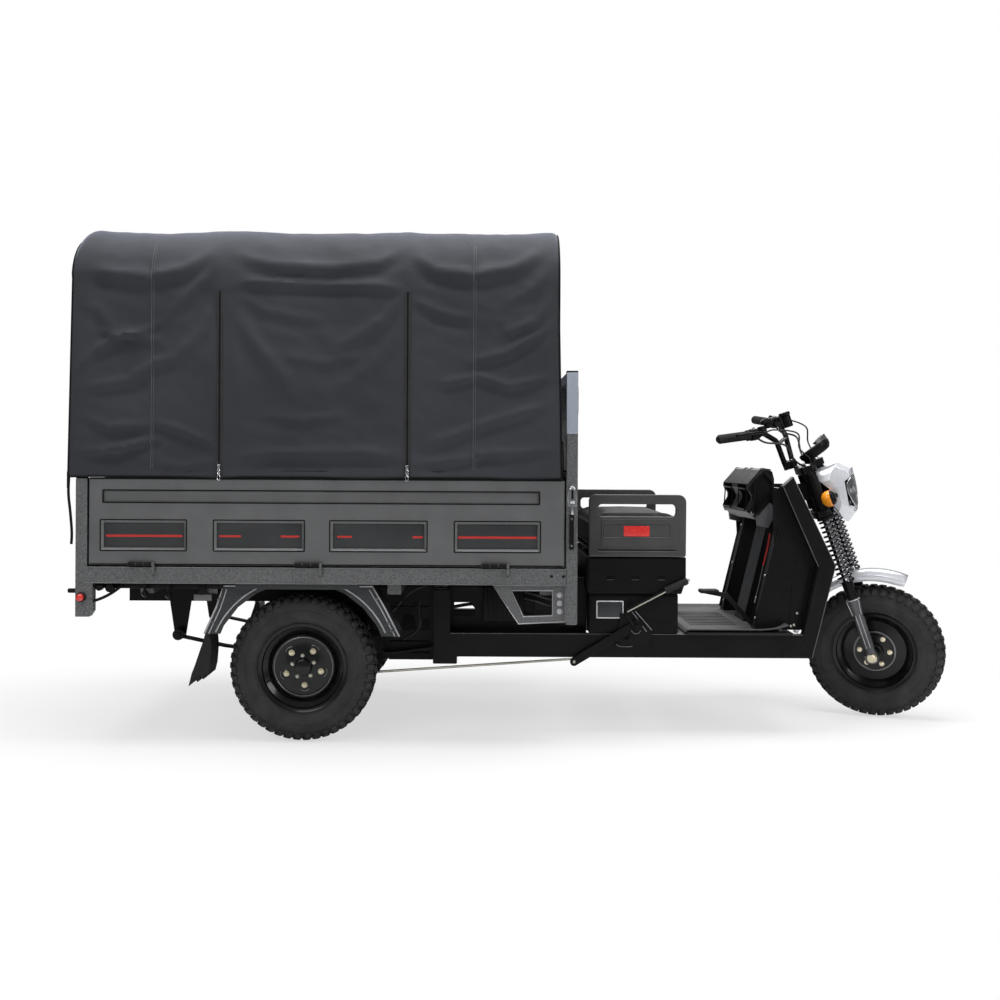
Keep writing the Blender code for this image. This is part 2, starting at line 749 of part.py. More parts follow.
def side_hinge_ear(side, start, end):
    """The sill's half of a drop-side hinge: an ear past the knuckle, with the pin through it."""
    face = side * BED_HALF
    axis = side * (BED_HALF + HINGE_OUT)
    tip = side * (BED_HALF + HINGE_OUT + HINGE_R)
    outline = [(face - side * 0.010, SILL_TOP - 0.035), (tip, SILL_TOP - 0.025), (tip, HINGE_Z + HINGE_R),
               (face + side * 0.003, HINGE_Z + HINGE_R), (face + side * 0.003, SILL_TOP - 0.004),
               (face - side * 0.010, SILL_TOP - 0.004)]
    ear = plate([outline], end + 0.001, end + 0.001 + EAR_T, "YZ")
    pin = rod((start, axis, HINGE_Z), (end + 0.002, axis, HINGE_Z), HINGE_PIN_R, 8)
    return [ear, pin]


def tail_hinge_ear(start, end):
    axis = BED_REAR - HINGE_OUT
    tip = axis - HINGE_R
    outline = [(BED_REAR + 0.010, SILL_TOP - 0.035), (tip, SILL_TOP - 0.025), (tip, HINGE_Z + HINGE_R),
               (BED_REAR - 0.003, HINGE_Z + HINGE_R), (BED_REAR - 0.003, SILL_TOP - 0.004),
               (BED_REAR + 0.010, SILL_TOP - 0.004)]
    ear = plate([outline], end + 0.001, end + 0.001 + EAR_T)
    pin = rod((axis, start, HINGE_Z), (axis, end + 0.002, HINGE_Z), HINGE_PIN_R, 8)
    return [ear, pin]


def bed_frame():
    """Floor sheet on its bearers, with the front sill, between the two side sills."""
    reach = BED_HALF - SILL_W - GAP
    top = SILL_TOP - 0.002
    pieces = [box((BED_REAR + SILL_W + GAP, SILL_FRONT - 0.01), (-reach, reach), (SILL_TOP - FLOOR_T, FLOOR_TOP))]
    pieces.append(box((SILL_FRONT - SILL_W, SILL_FRONT), (-reach, reach), (SILL_BOTTOM, FLOOR_TOP)))
    for place in (-1.46, -1.225, -0.545, 0.02):
        pieces.append(box((place, place + 0.05), (-reach + 0.02, reach - 0.02), (LADDER_TOP + GAP, top)))
        pieces.append(box((place, place + 0.05), (-reach, reach), (SILL_BOTTOM + 0.003, top)))
    pieces.append(box((-0.90, -0.85), (-0.42, 0.42), (LADDER_TOP + GAP, top)))
    return joined(*pieces)


def side_sill(side):
    """Long sill of one side with its hinge ears, and the rear corner post that runs down past it."""
    y = sorted((side * BED_HALF, side * (BED_HALF - SILL_W)))
    pieces = [box((BED_REAR, SILL_FRONT), y, (SILL_BOTTOM, SILL_TOP))]
    foot = BED_REAR + 0.063
    post = [(BED_REAR, TAIL_POST_BOTTOM), (BED_REAR + 0.050, TAIL_POST_BOTTOM), (foot, TAIL_POST_BOTTOM + 0.020),
            (foot, SILL_BOTTOM + 0.01), (BED_REAR + POST_W, SILL_TOP), (BED_REAR + POST_W, GATE_TOP),
            (BED_REAR, GATE_TOP)]
    pieces.append(plate([post], *sorted((side * BED_HALF, side * (BED_HALF - 0.040)))))
    for start, end in SIDE_HINGES:
        pieces += side_hinge_ear(side, start, end)
    return joined(*pieces)


def rear_sill():
    """Cross member at the bed's rear end, with the ears of the tailgate's hinges."""
    reach = BED_HALF - SILL_W - GAP
    pieces = [box((BED_REAR, BED_REAR + SILL_W), (-reach, reach), (SILL_BOTTOM, SILL_TOP))]
    for start, end in TAIL_HINGES:
        pieces += tail_hinge_ear(start, end)
    return joined(*pieces)


def headboard():
    """Front wall of the bed: two posts, rails, a pressed lower panel and bars that carry the back pad."""
    x0 = BED_FRONT - HEAD_POST_T
    x1 = BED_FRONT
    pieces = []
    for side in (-1, 1):
        y = sorted((side * BED_HALF, side * (BED_HALF - 0.042)))
        pieces.append(box((x0, x1), y, (HEAD_POST_BOTTOM, HEADBOARD_TOP), 0.003))
        bar = sorted((side * 0.235, side * 0.205))
        pieces.append(box((x0 + 0.008, x1 - 0.006), bar, (1.00, HEADBOARD_TOP - 0.02)))
    reach = BED_HALF - 0.02
    for z in ((HEADBOARD_TOP - 0.040, HEADBOARD_TOP - 0.001), (0.985, 1.025), (SILL_BOTTOM, SILL_BOTTOM + 0.05)):
        pieces.append(box((x0 + 0.004, x1 - 0.004), (-reach, reach), z))
    pieces.append(box((x0 + 0.012, x0 + 0.018), (-reach, reach), (SILL_BOTTOM + 0.02, 1.00)))
    return joined(*pieces)


WINDOWS = [(-1.587, -1.279), (-1.174, -0.848), (-0.749, -0.400), (-0.294, 0.014)]
WINDOW_Z = (0.726, 0.832)
SLOT_Z = (0.898, 0.944)
WINDOW_DEPTH = 0.014


def gate_pivot(side):
    return pivot(f"gate_{'left' if side > 0 else 'right'}_axis",
                 Matrix.Translation((0, side * (BED_HALF + HINGE_OUT), HINGE_Z)))


def side_gate(side):
    """Drop side with four pressed recesses and a long slot under its top rail, hinged at its foot."""
    outer = side * BED_HALF
    inner = side * GATE_INNER
    panel = box((GATE_REAR, GATE_FRONT), sorted((outer, inner)), (GATE_BOTTOM, GATE_TOP), 0.003)
    recess_y = sorted((outer + side * 0.01, outer - side * WINDOW_DEPTH))
    cutters = [box(x, recess_y, WINDOW_Z) for x in WINDOWS]
    cutters.append(box((-1.582, 0.014), sorted((outer + side * 0.01, outer - side * 0.008)), SLOT_Z))
    panel = cut(panel, *cutters)
    knuckles = []
    bores = []
    axis = outer + side * HINGE_OUT
    for start, end in SIDE_HINGES:
        knuckles.append(rod((start, axis, HINGE_Z), (end, axis, HINGE_Z), HINGE_R, 10))
        leaf_z = (HINGE_Z - 0.002, HINGE_Z + 0.004)
        knuckles.append(box((start, end), sorted((outer - side * 0.004, axis)), leaf_z))
        bores.append(rod((start - 0.01, axis, HINGE_Z), (end + 0.01, axis, HINGE_Z), HINGE_PIN_R + PIN_FIT, 8))
    return cut(joined(panel, *knuckles), *bores)


def tailgate():
    inner = BED_HALF - 0.040 - GATE_GAP
    panel = box((BED_REAR, BED_REAR + 0.032), (-inner, inner), (GATE_BOTTOM, GATE_TOP), 0.003)
    cutters = []
    for y in ((-0.560, -0.220), (-0.170, 0.170), (0.220, 0.560)):
        cutters.append(box((BED_REAR - 0.01, BED_REAR + WINDOW_DEPTH), y, WINDOW_Z))
    cutters.append(box((BED_REAR - 0.01, BED_REAR + 0.008), (-0.56, 0.56), SLOT_Z))
    panel = cut(panel, *cutters)
    knuckles = []
    bores = []
    axis = BED_REAR - HINGE_OUT
    for start, end in TAIL_HINGES:
        knuckles.append(rod((axis, start, HINGE_Z), (axis, end, HINGE_Z), HINGE_R, 10))
        knuckles.append(box((axis, BED_REAR + 0.004), (start, end), (HINGE_Z - 0.002, HINGE_Z + 0.004)))
        bores.append(rod((axis, start - 0.01, HINGE_Z), (axis, end + 0.01, HINGE_Z), HINGE_PIN_R + PIN_FIT, 8))
    return cut(joined(panel, *knuckles), *bores)


# Canopy

def canopy_section(half, top, shoulder, crown, hem, steps=5):
    """Half-round shouldered outline across the machine, from one hem over the top to the other."""
    right = [(-half, hem)]
    for i in range(steps + 1):
        a = math.pi - (math.pi / 2) * i / steps
        right.append((-half + shoulder + shoulder * math.cos(a), top - shoulder + shoulder * math.sin(a)))
    left = [(-y, z) for y, z in reversed(right)]
    return right + [(0.0, top + crown)] + left


def canopy_form(inset, hem):
    """The closed form of the cover, drawn in all round by an inset, with rounded ends to its roof."""
    section = canopy_section(CANOPY_HALF - inset, CANOPY_TOP - inset, CANOPY_SHOULDER - inset, CANOPY_CROWN, hem)
    rear = CANOPY_REAR + inset
    front = CANOPY_FRONT - inset
    top = CANOPY_TOP + CANOPY_CROWN - inset + 0.001
    corner = CANOPY_CORNER - inset
    side = [(rear, hem - 0.01)]
    side += arc((rear + corner, top - corner), corner, 180, 90, 5)
    side += arc((front - corner * 0.3, top - corner * 0.3), corner * 0.3, 90, 0, 2)
    side += [(front, hem - 0.01)]
    along = plate([section], rear - 0.01, front + 0.01, "YZ")
    across = plate([side], -CANOPY_HALF - 0.1, CANOPY_HALF + 0.1)
    return combined(along, [across], "INTERSECT")


def canopy():
    """Fabric cover over the bows: roof, two sides and both ends, open below."""
    skin = canopy_form(0.0, CANOPY_HEM)
    hollow = canopy_form(CANOPY_T, CANOPY_HEM - 0.05)
    below_front = box((CANOPY_FRONT - CANOPY_T - 0.02, CANOPY_FRONT + 0.02),
                      (-CANOPY_HALF + CANOPY_T, CANOPY_HALF - CANOPY_T), (CANOPY_HEM - 0.02, CANOPY_FRONT_HEM))
    return cut(skin, hollow, below_front)


RAIL_HALF = CANOPY_HALF - CANOPY_T - BOW_R - 3 * GAP
RAIL_LOW = GATE_TOP + 0.015
RAIL_HIGH = GATE_TOP + 0.032


def canopy_rail(side):
    """Long rail over a drop side: it stands on the rear post and butts against the headboard post."""
    y = sorted((side * (RAIL_HALF - BOW_R + 0.001), side * (RAIL_HALF + BOW_R - 0.001)))
    rail = box((BED_REAR, SILL_FRONT), y, (RAIL_LOW, RAIL_HIGH))
    foot = box((BED_REAR, BED_REAR + POST_W - 0.002), y, (GATE_TOP + GAP, RAIL_LOW + 0.004))
    return joined(rail, foot)


def bow(place):
    """One hoop of the canopy's frame, standing on the two rails."""
    inset = CANOPY_HALF - RAIL_HALF
    drop = 0.012 if place == BOW_PLACES[0] else 0.0
    section = canopy_section(RAIL_HALF, CANOPY_TOP - inset - drop, CANOPY_SHOULDER - inset, CANOPY_CROWN,
                             RAIL_HIGH + GAP)
    return tube([(place, y, z) for y, z in section], BOW_R, 0)


# Seat

def battery_box():
    return box((0.218, 0.564), (-FRAME_HALF, FRAME_HALF), (RAIL_TOP + GAP, 0.547), 0.008)


def seat_housing():
    """Moulded cover of the battery bay, drawn in at its lower front, with a ledge for the lid."""
    outline = [(0.212, 0.5473), (0.575, 0.5473), (0.591, 0.600), (0.591, ARMREST_BOTTOM - GAP),
               (0.206, ARMREST_BOTTOM - GAP), (0.206, 0.580)]
    body = plate([outline], -SEAT_HALF + 0.006, SEAT_HALF - 0.006, bevel=0.006)
    ledge = box((0.225, 0.575), (-0.385, 0.385), (0.68, LID_BOTTOM - GAP))
    return joined(body, ledge)


def armrest(side):
    """Boxed side frame with a window over a panel that has a long recess."""
    outer = side * SEAT_HALF
    inner = side * (SEAT_HALF - ARMREST_T)
    z0 = ARMREST_BOTTOM
    z1 = ARMREST_TOP
    x0 = SEAT_REAR
    x1 = SEAT_FRONT
    outline = [(x0, z0), (x1, z0), (x1, z1 - 0.035), (x1 - 0.012, z1 - 0.010), (x1 - 0.035, z1),
               (x0 + 0.035, z1), (x0 + 0.012, z1 - 0.010), (x0, z1 - 0.035)]
    window = [(x0 + 0.040, 0.845), (x1 - 0.040, 0.845), (x1 - 0.040, z1 - 0.037), (x0 + 0.040, z1 - 0.037)]
    frame = plate([outline, window], *sorted((outer, inner)))
    panel_y = sorted((outer + side * 0.01, outer - side * 0.008))
    cutter = box((x0 + 0.040, x1 - 0.040), panel_y, (z0 + 0.028, 0.8448))
    frame = cut(frame, cutter)
    pressing_y = sorted((outer - side * 0.0095, outer - side * 0.003))
    pressing = box((x0 + 0.052, x1 - 0.052), pressing_y, (0.729, 0.836))
    recess = box((0.272, 0.526), sorted((outer, outer - side * 0.007)), (0.764, 0.816))
    return joined(frame, cut(pressing, recess))


def seat_lid():
    return box((0.222, 0.582), (-0.386, 0.386), (LID_BOTTOM, LID_BOTTOM + LID_T))


def seat_cushion():
    return box((0.226, 0.580), (-0.384, 0.384), (LID_BOTTOM + LID_T + GAP, CUSHION_TOP), 0.022)


def backrest_pad():
    x = (BED_FRONT - 0.004 + GAP, BED_FRONT + 0.029)
    return box(x, (-0.300, 0.300), (HEADBOARD_TOP - 0.159, HEADBOARD_TOP - 0.013), 0.008)


# Rider's floor and shield

def footboard():
    tray = box((0.592, 1.000), (-0.425, 0.425), (RAIL_TOP + GAP, RAIL_TOP + 0.010))
    return tray


SHIELD_SECTION = [
    (0.120, -0.355), (0.000, -0.355), (0.000, -0.275), (0.075, -0.255), (0.075, -0.130), (0.015, -0.085),
    (0.015, 0.085), (0.075, 0.130), (0.075, 0.255), (0.000, 0.275), (0.000, 0.355), (0.120, 0.355),
]
SHIELD_FOOT = (0.872, RAIL_TOP + 0.0115)
SHIELD_HEAD = (0.968, 0.820)
SHIELD_T = 0.005


def legshield():
    """Folded panel with side and centre ribs, leaning forward from the footboard."""
    shape = bmesh.new()
    rows = []
    for x0, z in (SHIELD_FOOT, SHIELD_HEAD):
        lean = 0.72 if z == SHIELD_FOOT[1] else 1.0
        rows.append([shape.verts.new((x0 + x * lean, y, z)) for x, y in SHIELD_SECTION])
    for i in range(len(SHIELD_SECTION) - 1):
        shape.faces.new((rows[0][i], rows[0][i + 1], rows[1][i + 1], rows[1][i]))
    sheet = from_bmesh(shape)
    wall = sheet.modifiers.new("wall", "SOLIDIFY")
    wall.thickness = SHIELD_T
    wall.offset = 0.0
    return baked(sheet)


def storage_box():
    """Faceted moulding over the shield with two open pockets facing the rider."""
    side = [(STORAGE_FRONT, 0.8225), (0.905, 0.8225), (0.854, 0.864), (0.884, 0.916), (0.855, 0.962),
            (0.918, 1.034), (0.958, 1.028), (STORAGE_FRONT, 0.990)]
    body = plate([side], -0.255, 0.255, bevel=0.010)
    pockets = []
    for s in (-1, 1):
        y = sorted((s * 0.225, s * 0.060))
        pockets.append(plate([[(0.80, 0.866), (0.950, 0.860), (0.950, 0.985), (0.80, 0.955)]], *y))
    return cut(body, *pockets)


# Smaller things on the frame

def mudguard(side):
    """Angled guard over a rear wheel: bent sheet with a side web cut round the tyre."""
    axle = (REAR_AXLE_X, TYRE_R)
    top = SILL_BOTTOM - 0.012
    rear_foot = (-1.222, 0.412)
    front_foot = (-0.500, 0.405)
    outline = [rear_foot, (-1.178, 0.511), (-1.152, top), (-0.600, top), (-0.555, 0.511), front_foot]
    inner = [(-0.520, 0.402), (-0.575, 0.505), (-0.618, top - 0.014), (-1.134, top - 0.014), (-1.160, 0.505),
             (-1.202, 0.408)]
    y_out = side * (BED_HALF - 0.060)
    y_in = side * (HALF_TRACK - 0.070)
    sheet = plate([outline + inner], *sorted((y_out, y_in)))
    web_outline = outline + [(-0.512, 0.405)]
    web = plate([web_outline], *sorted((y_out, y_out - side * 0.004)))
    opening = rod((axle[0], y_out - side * 0.05, axle[1]), (axle[0], y_out + side * 0.05, axle[1]),
                  TYRE_R + 0.050, 24)
    web = cut(web, opening)
    flange = box((-1.10, -0.65), sorted((side * (BED_HALF - 0.100), side * (BED_HALF - 0.020))),
                 (top - 0.008, SILL_BOTTOM - GAP))
    return joined(sheet, web, flange)


def mud_flap(side):
    y = sorted((side * (HALF_TRACK + 0.085), side * (HALF_TRACK - 0.055)))
    outline = [(-1.2225, 0.4110), (-1.2035, 0.4070), (-1.196, 0.340), (-1.202, 0.252), (-1.225, 0.240),
               (-1.250, 0.228), (-1.286, 0.212), (-1.255, 0.300)]
    return plate([[(x, z + 0.0006) for x, z in outline]], *y)


def side_step(side):
    """Bolted bracket frame under the sill, open in its middle."""
    y = sorted((side * (BED_HALF - 0.020), side * (BED_HALF - 0.060)))
    outer = [(-0.157, SILL_BOTTOM - GAP), (-0.061, 0.460), (SILL_FRONT, 0.468), (SILL_FRONT, SILL_BOTTOM - GAP)]
    window = [(-0.087, 0.582), (-0.043, 0.486), (0.064, 0.490), (0.064, 0.582)]
    return plate([outer, window], *y)


def tail_lamp(side):
    x = BED_REAR + 0.022
    y = side * (BED_HALF + GAP)
    base = rod((x, y, 0.552), (x, y + side * 0.012, 0.552), 0.018, 16)
    lamp = rod((x, y + side * 0.011, 0.552), (x, y + side * 0.026, 0.552), 0.014, 16)
    return joined(base, lamp)


def hand_brake():
    """Parking brake on the right rail: bracket, lever with its grip, arm and the long rod to the axle."""
    y = -FRAME_HALF - GAP
    quadrant = plate([[(0.320, 0.345), (0.467, 0.345), (0.455, 0.440), (0.400, 0.480), (0.340, 0.470)]],
                     y - 0.008, y)
    lever = tube([(0.400, y - 0.012, 0.420), (0.351, y - 0.024, 0.484), (0.517, y - 0.046, 0.568)], 0.006, 1)
    handle = rod((0.510, y - 0.045, 0.564), (0.592, y - 0.050, 0.602), 0.014, 10)
    arm = plate([[(0.150, 0.285), (0.180, 0.285), (0.360, 0.395), (0.420, 0.410), (0.420, 0.435),
                  (0.345, 0.420), (0.150, 0.310)]], y - 0.022, y - 0.0075)
    brake_rod = rod((0.165, y - 0.015, 0.297), (BRAKE_ARM_X + 3 * GAP, -BRAKE_ARM_Y, 0.228), 0.005, 8)
    return joined(quadrant, lever, handle, arm, brake_rod)


def brake_pedal():
    foot = RAIL_TOP + 0.010 + GAP
    stem = plate([[(0.885, foot), (0.905, foot), (0.795, 0.530), (0.690, 0.545), (0.690, 0.530), (0.785, 0.512)]],
                 -0.205, -0.195)
    pad = box((0.680, 0.755), (-0.230, -0.170), (0.531, 0.545), 0.003)
    return joined(stem, pad)


def build():
    for side, word in ((1, "left"), (-1, "right")):
        part(f"side_frame_{word}", side_frame(side), "frame_black")
        part(f"armrest_{word}", armrest(side), "bed_grey")
        part(f"mudguard_{word}", mudguard(side), "bed_grey")
        part(f"mud_flap_{word}", mud_flap(side), "rubber")
        part(f"side_step_{word}", side_step(side), "bed_grey")
        part(f"tail_lamp_{word}", tail_lamp(side), "red")
        part(f"canopy_rail_{word}", canopy_rail(side), "frame_black")
        part(f"sill_{word}", side_sill(side), "bed_grey")
        gate_axis = gate_pivot(side)
        hung(f"side_gate_{word}", side_gate(side), "bed_grey", gate_axis)
        hub = pivot(f"rear_hub_{word}", Matrix.Translation((REAR_AXLE_X, side * HALF_TRACK, TYRE_R)))
        place_wheel(f"rear_{word}", hub, rear_rim(), side < 0)
    part("chassis_ladder", ladder(), "frame_black")
    part("steering_head", steering_head(), "frame_black")
    part("rear_axle", rear_axle(), "frame_black")
    part("bed_frame", bed_frame(), "bed_grey")
    part("rear_sill", rear_sill(), "bed_grey")
    part("headboard", headboard(), "bed_grey")
    part("backrest_pad", backrest_pad(), "cushion")
    part("canopy", canopy(), "canvas")
    for place, word in zip(BOW_PLACES, ("rear", "mid_rear", "mid_front", "front")):
        part(f"canopy_bow_{word}", bow(place), "frame_black")
    part("battery_box", battery_box(), "frame_black")
    part("seat_housing", seat_housing(), "plastic")
    part("footboard", footboard(), "rubber")
    part("legshield", legshield(), "plastic")
    part("storage_box", storage_box(), "plastic")
    part("hand_brake", hand_brake(), "frame_black")
    part("brake_pedal", brake_pedal(), "rubber")
    tail_axis = pivot("tailgate_axis", Matrix.Translation((BED_REAR - HINGE_OUT, 0, HINGE_Z)))
    hung("tailgate", tailgate(), "bed_grey", tail_axis)
    seat_axis = pivot("seat_axis", Matrix.Translation((SEAT_FRONT - 0.002, 0, LID_BOTTOM)))
    hung("seat_lid", seat_lid(), "frame_black", seat_axis)
    hung("seat_cushion", seat_cushion(), "cushion", seat_axis)
    steering = pivot("steering_axis", steering_matrix())
    part("fork", fork(), "chrome", steering)
    part("handlebar", handlebar(), "frame_black", steering)
    part("gauge", gauge(), "plastic", steering)
    part("headlamp_cowl", headlamp_cowl(), "silver", steering)
    part("headlamp_lens", headlamp_lens(), "lens", steering)
    part("front_fender", front_fender(), "silver", steering)
    for side, word in ((1, "left"), (-1, "right")):
        part(f"coil_spring_{word}", coil_spring(side), "chrome", steering)
        part(f"grip_{word}", grip(side), "rubber", steering)
        part(f"indicator_{word}", indicator(side), "amber", steering)
    front_hub = pivot("front_hub", steering_matrix() @ Matrix.Translation((FORK_OFFSET, 0, 0)))
    place_wheel("front", front_hub, front_rim(), True)


build()
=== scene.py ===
"""Looks of the electric cargo tricycle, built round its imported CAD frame.

Metres, in the frame of the CAD: +X forward, +Y to the machine's left, +Z up.
Steering pieces are made in the steering's own frame: x forward across its axis, y left, z up along it.
"""

import json
from math import copysign, cos, exp, hypot, pi, radians, sin, sqrt, tan

import bmesh
import bpy
from mathutils import Matrix, Vector
from mathutils import noise


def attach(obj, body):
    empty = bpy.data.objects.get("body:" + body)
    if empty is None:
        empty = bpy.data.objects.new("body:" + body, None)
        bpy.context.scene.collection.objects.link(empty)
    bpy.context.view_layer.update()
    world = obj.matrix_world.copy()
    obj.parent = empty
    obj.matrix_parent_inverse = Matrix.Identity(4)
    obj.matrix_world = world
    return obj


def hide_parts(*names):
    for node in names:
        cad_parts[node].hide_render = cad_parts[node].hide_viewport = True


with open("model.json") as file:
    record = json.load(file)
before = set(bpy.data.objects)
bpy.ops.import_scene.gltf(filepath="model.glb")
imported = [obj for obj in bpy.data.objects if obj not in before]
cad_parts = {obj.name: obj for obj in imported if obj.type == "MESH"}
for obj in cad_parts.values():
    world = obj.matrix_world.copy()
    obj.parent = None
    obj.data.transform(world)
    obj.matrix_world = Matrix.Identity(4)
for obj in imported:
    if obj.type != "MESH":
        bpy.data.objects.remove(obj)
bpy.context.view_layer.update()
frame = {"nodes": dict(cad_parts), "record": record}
SIDES = ((1, "left"), (-1, "right"))
NO_TURN = Matrix.Identity(4)
UPRIGHT = Matrix.Rotation(pi / 2, 4, "X")
HALF_TURN = Matrix.Rotation(pi, 4, "Z")

# Sizes shared with the CAD
TYRE_R = 0.278
REAR_X = -0.866
HALF_TRACK = 0.5
RAKE = radians(19.0)
STEER = radians(-24.0)
FORK_OFFSET = 0.043
HALF_LEGS = 0.115
HUB = Vector((1.45, 0.0, 0.27922))
AXIS_FOOT = HUB - Vector((cos(RAKE), 0, sin(RAKE))) * FORK_OFFSET
STEERING = Matrix.Translation(AXIS_FOOT) @ Matrix.Rotation(-RAKE, 4, "Y") @ Matrix.Rotation(STEER, 4, "Z")
FRONT_WHEEL = STEERING @ Matrix.Translation((FORK_OFFSET, 0, 0))
BED_REAR = -1.681
BED_HALF = 0.66
GATE_X = (-1.633, 0.105)
HINGES = ((-1.487, -1.399), (-0.881, -0.789), (-0.198, -0.106))
WINDOWS = ((-1.587, -1.279), (-1.174, -0.848), (-0.749, -0.4), (-0.294, 0.014))
WINDOW_Z = (0.726, 0.832)
RECESS = 0.014


def moved(offset):
    return Matrix.Translation(offset)


def facing(side):
    """A turn that makes a piece drawn towards the left look outward on its own side."""
    return NO_TURN if side > 0 else HALF_TURN


def shrunk(span, margin):
    """A pair of limits moved in by a margin at both ends."""
    return span[0] + margin, span[1] - margin


def about(middle, half):
    return middle - half, middle + half


def band(side, near, far):
    """Two distances out from the middle as a rising pair of y values."""
    return sorted((side * near, side * far))


# Materials


class Nodes:
    """A material's node tree, with the few moves that every material here needs."""

    def __init__(self, name, colour, roughness, metallic=0.0, **more):
        self.material = bpy.data.materials.new(name)
        self.material.use_nodes = True
        self.tree = self.material.node_tree
        self.shader = self.tree.nodes["Principled BSDF"]
        self.colour = (*colour, 1.0)
        self.set("Base Color", self.colour)
        self.set("Roughness", roughness)
        self.set("Metallic", metallic)
        for key, value in more.items():
            self.set(key.replace("_", " "), value)
        self.place = self.add("ShaderNodeTexCoord").outputs["Object"]
        self.height = None

    def set(self, socket, value):
        self.shader.inputs[socket].default_value = value

    def add(self, kind, **values):
        node = self.tree.nodes.new(kind)
        for key, value in values.items():
            setattr(node, key, value)
        return node

    def link(self, source, target):
        self.tree.links.new(source, target)

    def stretched(self, scale):
        mapping = self.add("ShaderNodeMapping")
        mapping.inputs["Scale"].default_value = scale
        self.link(self.place, mapping.inputs["Vector"])
        return mapping.outputs["Vector"]

    def texture(self, kind, scale, stretch=None, **values):
        node = self.add(kind, **values)
        node.inputs["Scale"].default_value = scale
        self.link(self.stretched(stretch) if stretch else self.place, node.inputs["Vector"])
        return node

    def noise(self, scale, detail=3.0, stretch=None, rough=0.5):
        node = self.texture("ShaderNodeTexNoise", scale, stretch)
        node.inputs["Detail"].default_value = detail
        node.inputs["Roughness"].default_value = rough
        return node.outputs["Fac"]

    def cells(self, scale, feature="SMOOTH_F1"):
        return self.texture("ShaderNodeTexVoronoi", scale, feature=feature).outputs["Distance"]

    def bands(self, scale, direction):
        return self.texture("ShaderNodeTexWave", scale, bands_direction=direction).outputs["Fac"]

    def tint(self, fac, low, high):
        """Base colour that runs from one to the other with a pattern."""
        node = self.add("ShaderNodeValToRGB")
        for stop, position, colour in zip(node.color_ramp.elements, (0.3, 0.7), (low, high)):
            stop.position = position
            stop.color = (*colour, 1)
        self.link(fac, node.inputs["Fac"])
        self.link(node.outputs["Color"], self.shader.inputs["Base Color"])

    def polish(self, fac, low, high):
        """Roughness that runs from one to the other with a pattern."""
        node = self.add("ShaderNodeMapRange")
        node.inputs["To Min"].default_value = low
        node.inputs["To Max"].default_value = high
        self.link(fac, node.inputs["Value"])
        self.link(node.outputs["Result"], self.shader.inputs["Roughness"])

    def bump(self, fac, distance, strength=1.0):
        """One more layer of relief, over those already there."""
        node = self.add("ShaderNodeBump")
        node.inputs["Distance"].default_value = distance
        node.inputs["Strength"].default_value = strength
        self.link(fac, node.inputs["Height"])
        if self.height:
            self.link(self.height, node.inputs["Normal"])
        self.height = node.outputs["Normal"]
        self.link(self.height, self.shader.inputs["Normal"])


def scaled(colour, factor):
    return tuple(c * factor for c in colour)


def plain(name, colour, roughness, metallic=0.0, wear=0.12, grain=0.0, grain_scale=900.0, **more):
    """Paint, plastic or metal with soft blotches in colour and gloss, and a fine grain where asked."""
    made = Nodes(name, colour, roughness, metallic, **more)
    blotch = made.noise(9.0, 5.0)
    made.tint(blotch, scaled(colour, 1 - wear), scaled(colour, 1 + wear))
    made.polish(made.noise(26.0, 4.0), roughness * 0.85, min(roughness * 1.2, 1.0))
    if grain:
        made.bump(made.noise(grain_scale, 2.0), grain)
    return made.material


def hammered(name, colour, cell, depth):
    """Hammer-finish paint: dimples with lighter flecks between them."""
    made = Nodes(name, colour, 0.42, 0.3, Coat_Weight=0.25, Coat_Roughness=0.25)
    dimple = made.cells(cell)
    fleck = made.noise(cell * 0.9, 3.0, rough=0.65)
    made.tint(fleck, scaled(colour, 0.5), scaled(colour, 1.62))
    made.polish(made.noise(12.0, 4.0), 0.36, 0.52)
    made.bump(dimple, depth)
    return made.material


def canvas_material():
    colour = (0.0215, 0.0225, 0.0275)
    made = Nodes("canvas", colour, 0.78, Sheen_Weight=0.55, Sheen_Roughness=0.4, Specular_IOR_Level=0.4)
    made.set("Sheen Tint", (0.72, 0.77, 0.95, 1))
    made.tint(made.noise(3.5, 6.0), scaled(colour, 0.8), scaled(colour, 1.22))
    made.polish(made.noise(14.0, 3.0), 0.7, 0.88)
    made.bump(made.noise(17.0, 6.0, stretch=(1, 1, 1.6)), 0.004, 0.35)
    for direction in ("X", "Y", "Z"):
        made.bump(made.bands(420.0, direction), 0.00018, 0.35)
    return made.material


def tyre_material():
    colour = (0.015, 0.015, 0.0153)
    made = Nodes("tyre_rubber", colour, 0.6, Specular_IOR_Level=0.42)
    made.tint(made.noise(16.0, 6.0), scaled(colour, 0.7), scaled(colour, 1.7))
    made.polish(made.noise(40.0, 4.0), 0.58, 0.86)
    made.bump(made.noise(700.0, 3.0), 0.0002, 0.5)
    return made.material


def vinyl_material():
    colour = (0.0085, 0.0085, 0.009)
    made = Nodes("vinyl", colour, 0.6, Specular_IOR_Level=0.22)
    made.tint(made.noise(11.0, 5.0), scaled(colour, 0.8), scaled(colour, 1.3))
    made.polish(made.noise(30.0, 4.0), 0.52, 0.7)
    made.bump(made.cells(620.0), 0.0005, 0.55)
    return made.material


def reflector_material():
    made = Nodes("red_reflector", (0.7, 0.018, 0.014), 0.16, Coat_Weight=0.8)
    made.bump(made.cells(420.0, "F1"), 0.0006, 0.8)
    made.tint(made.cells(420.0, "F1"), (0.82, 0.03, 0.02), (0.45, 0.006, 0.005))
    return made.material


def lens_material(name, colour, roughness, transmission):
    made = Nodes(name, colour, roughness, IOR=1.49, Transmission_Weight=transmission)
    made.bump(made.noise(30.0, 2.0), 0.0003, 0.3)
    return made.material


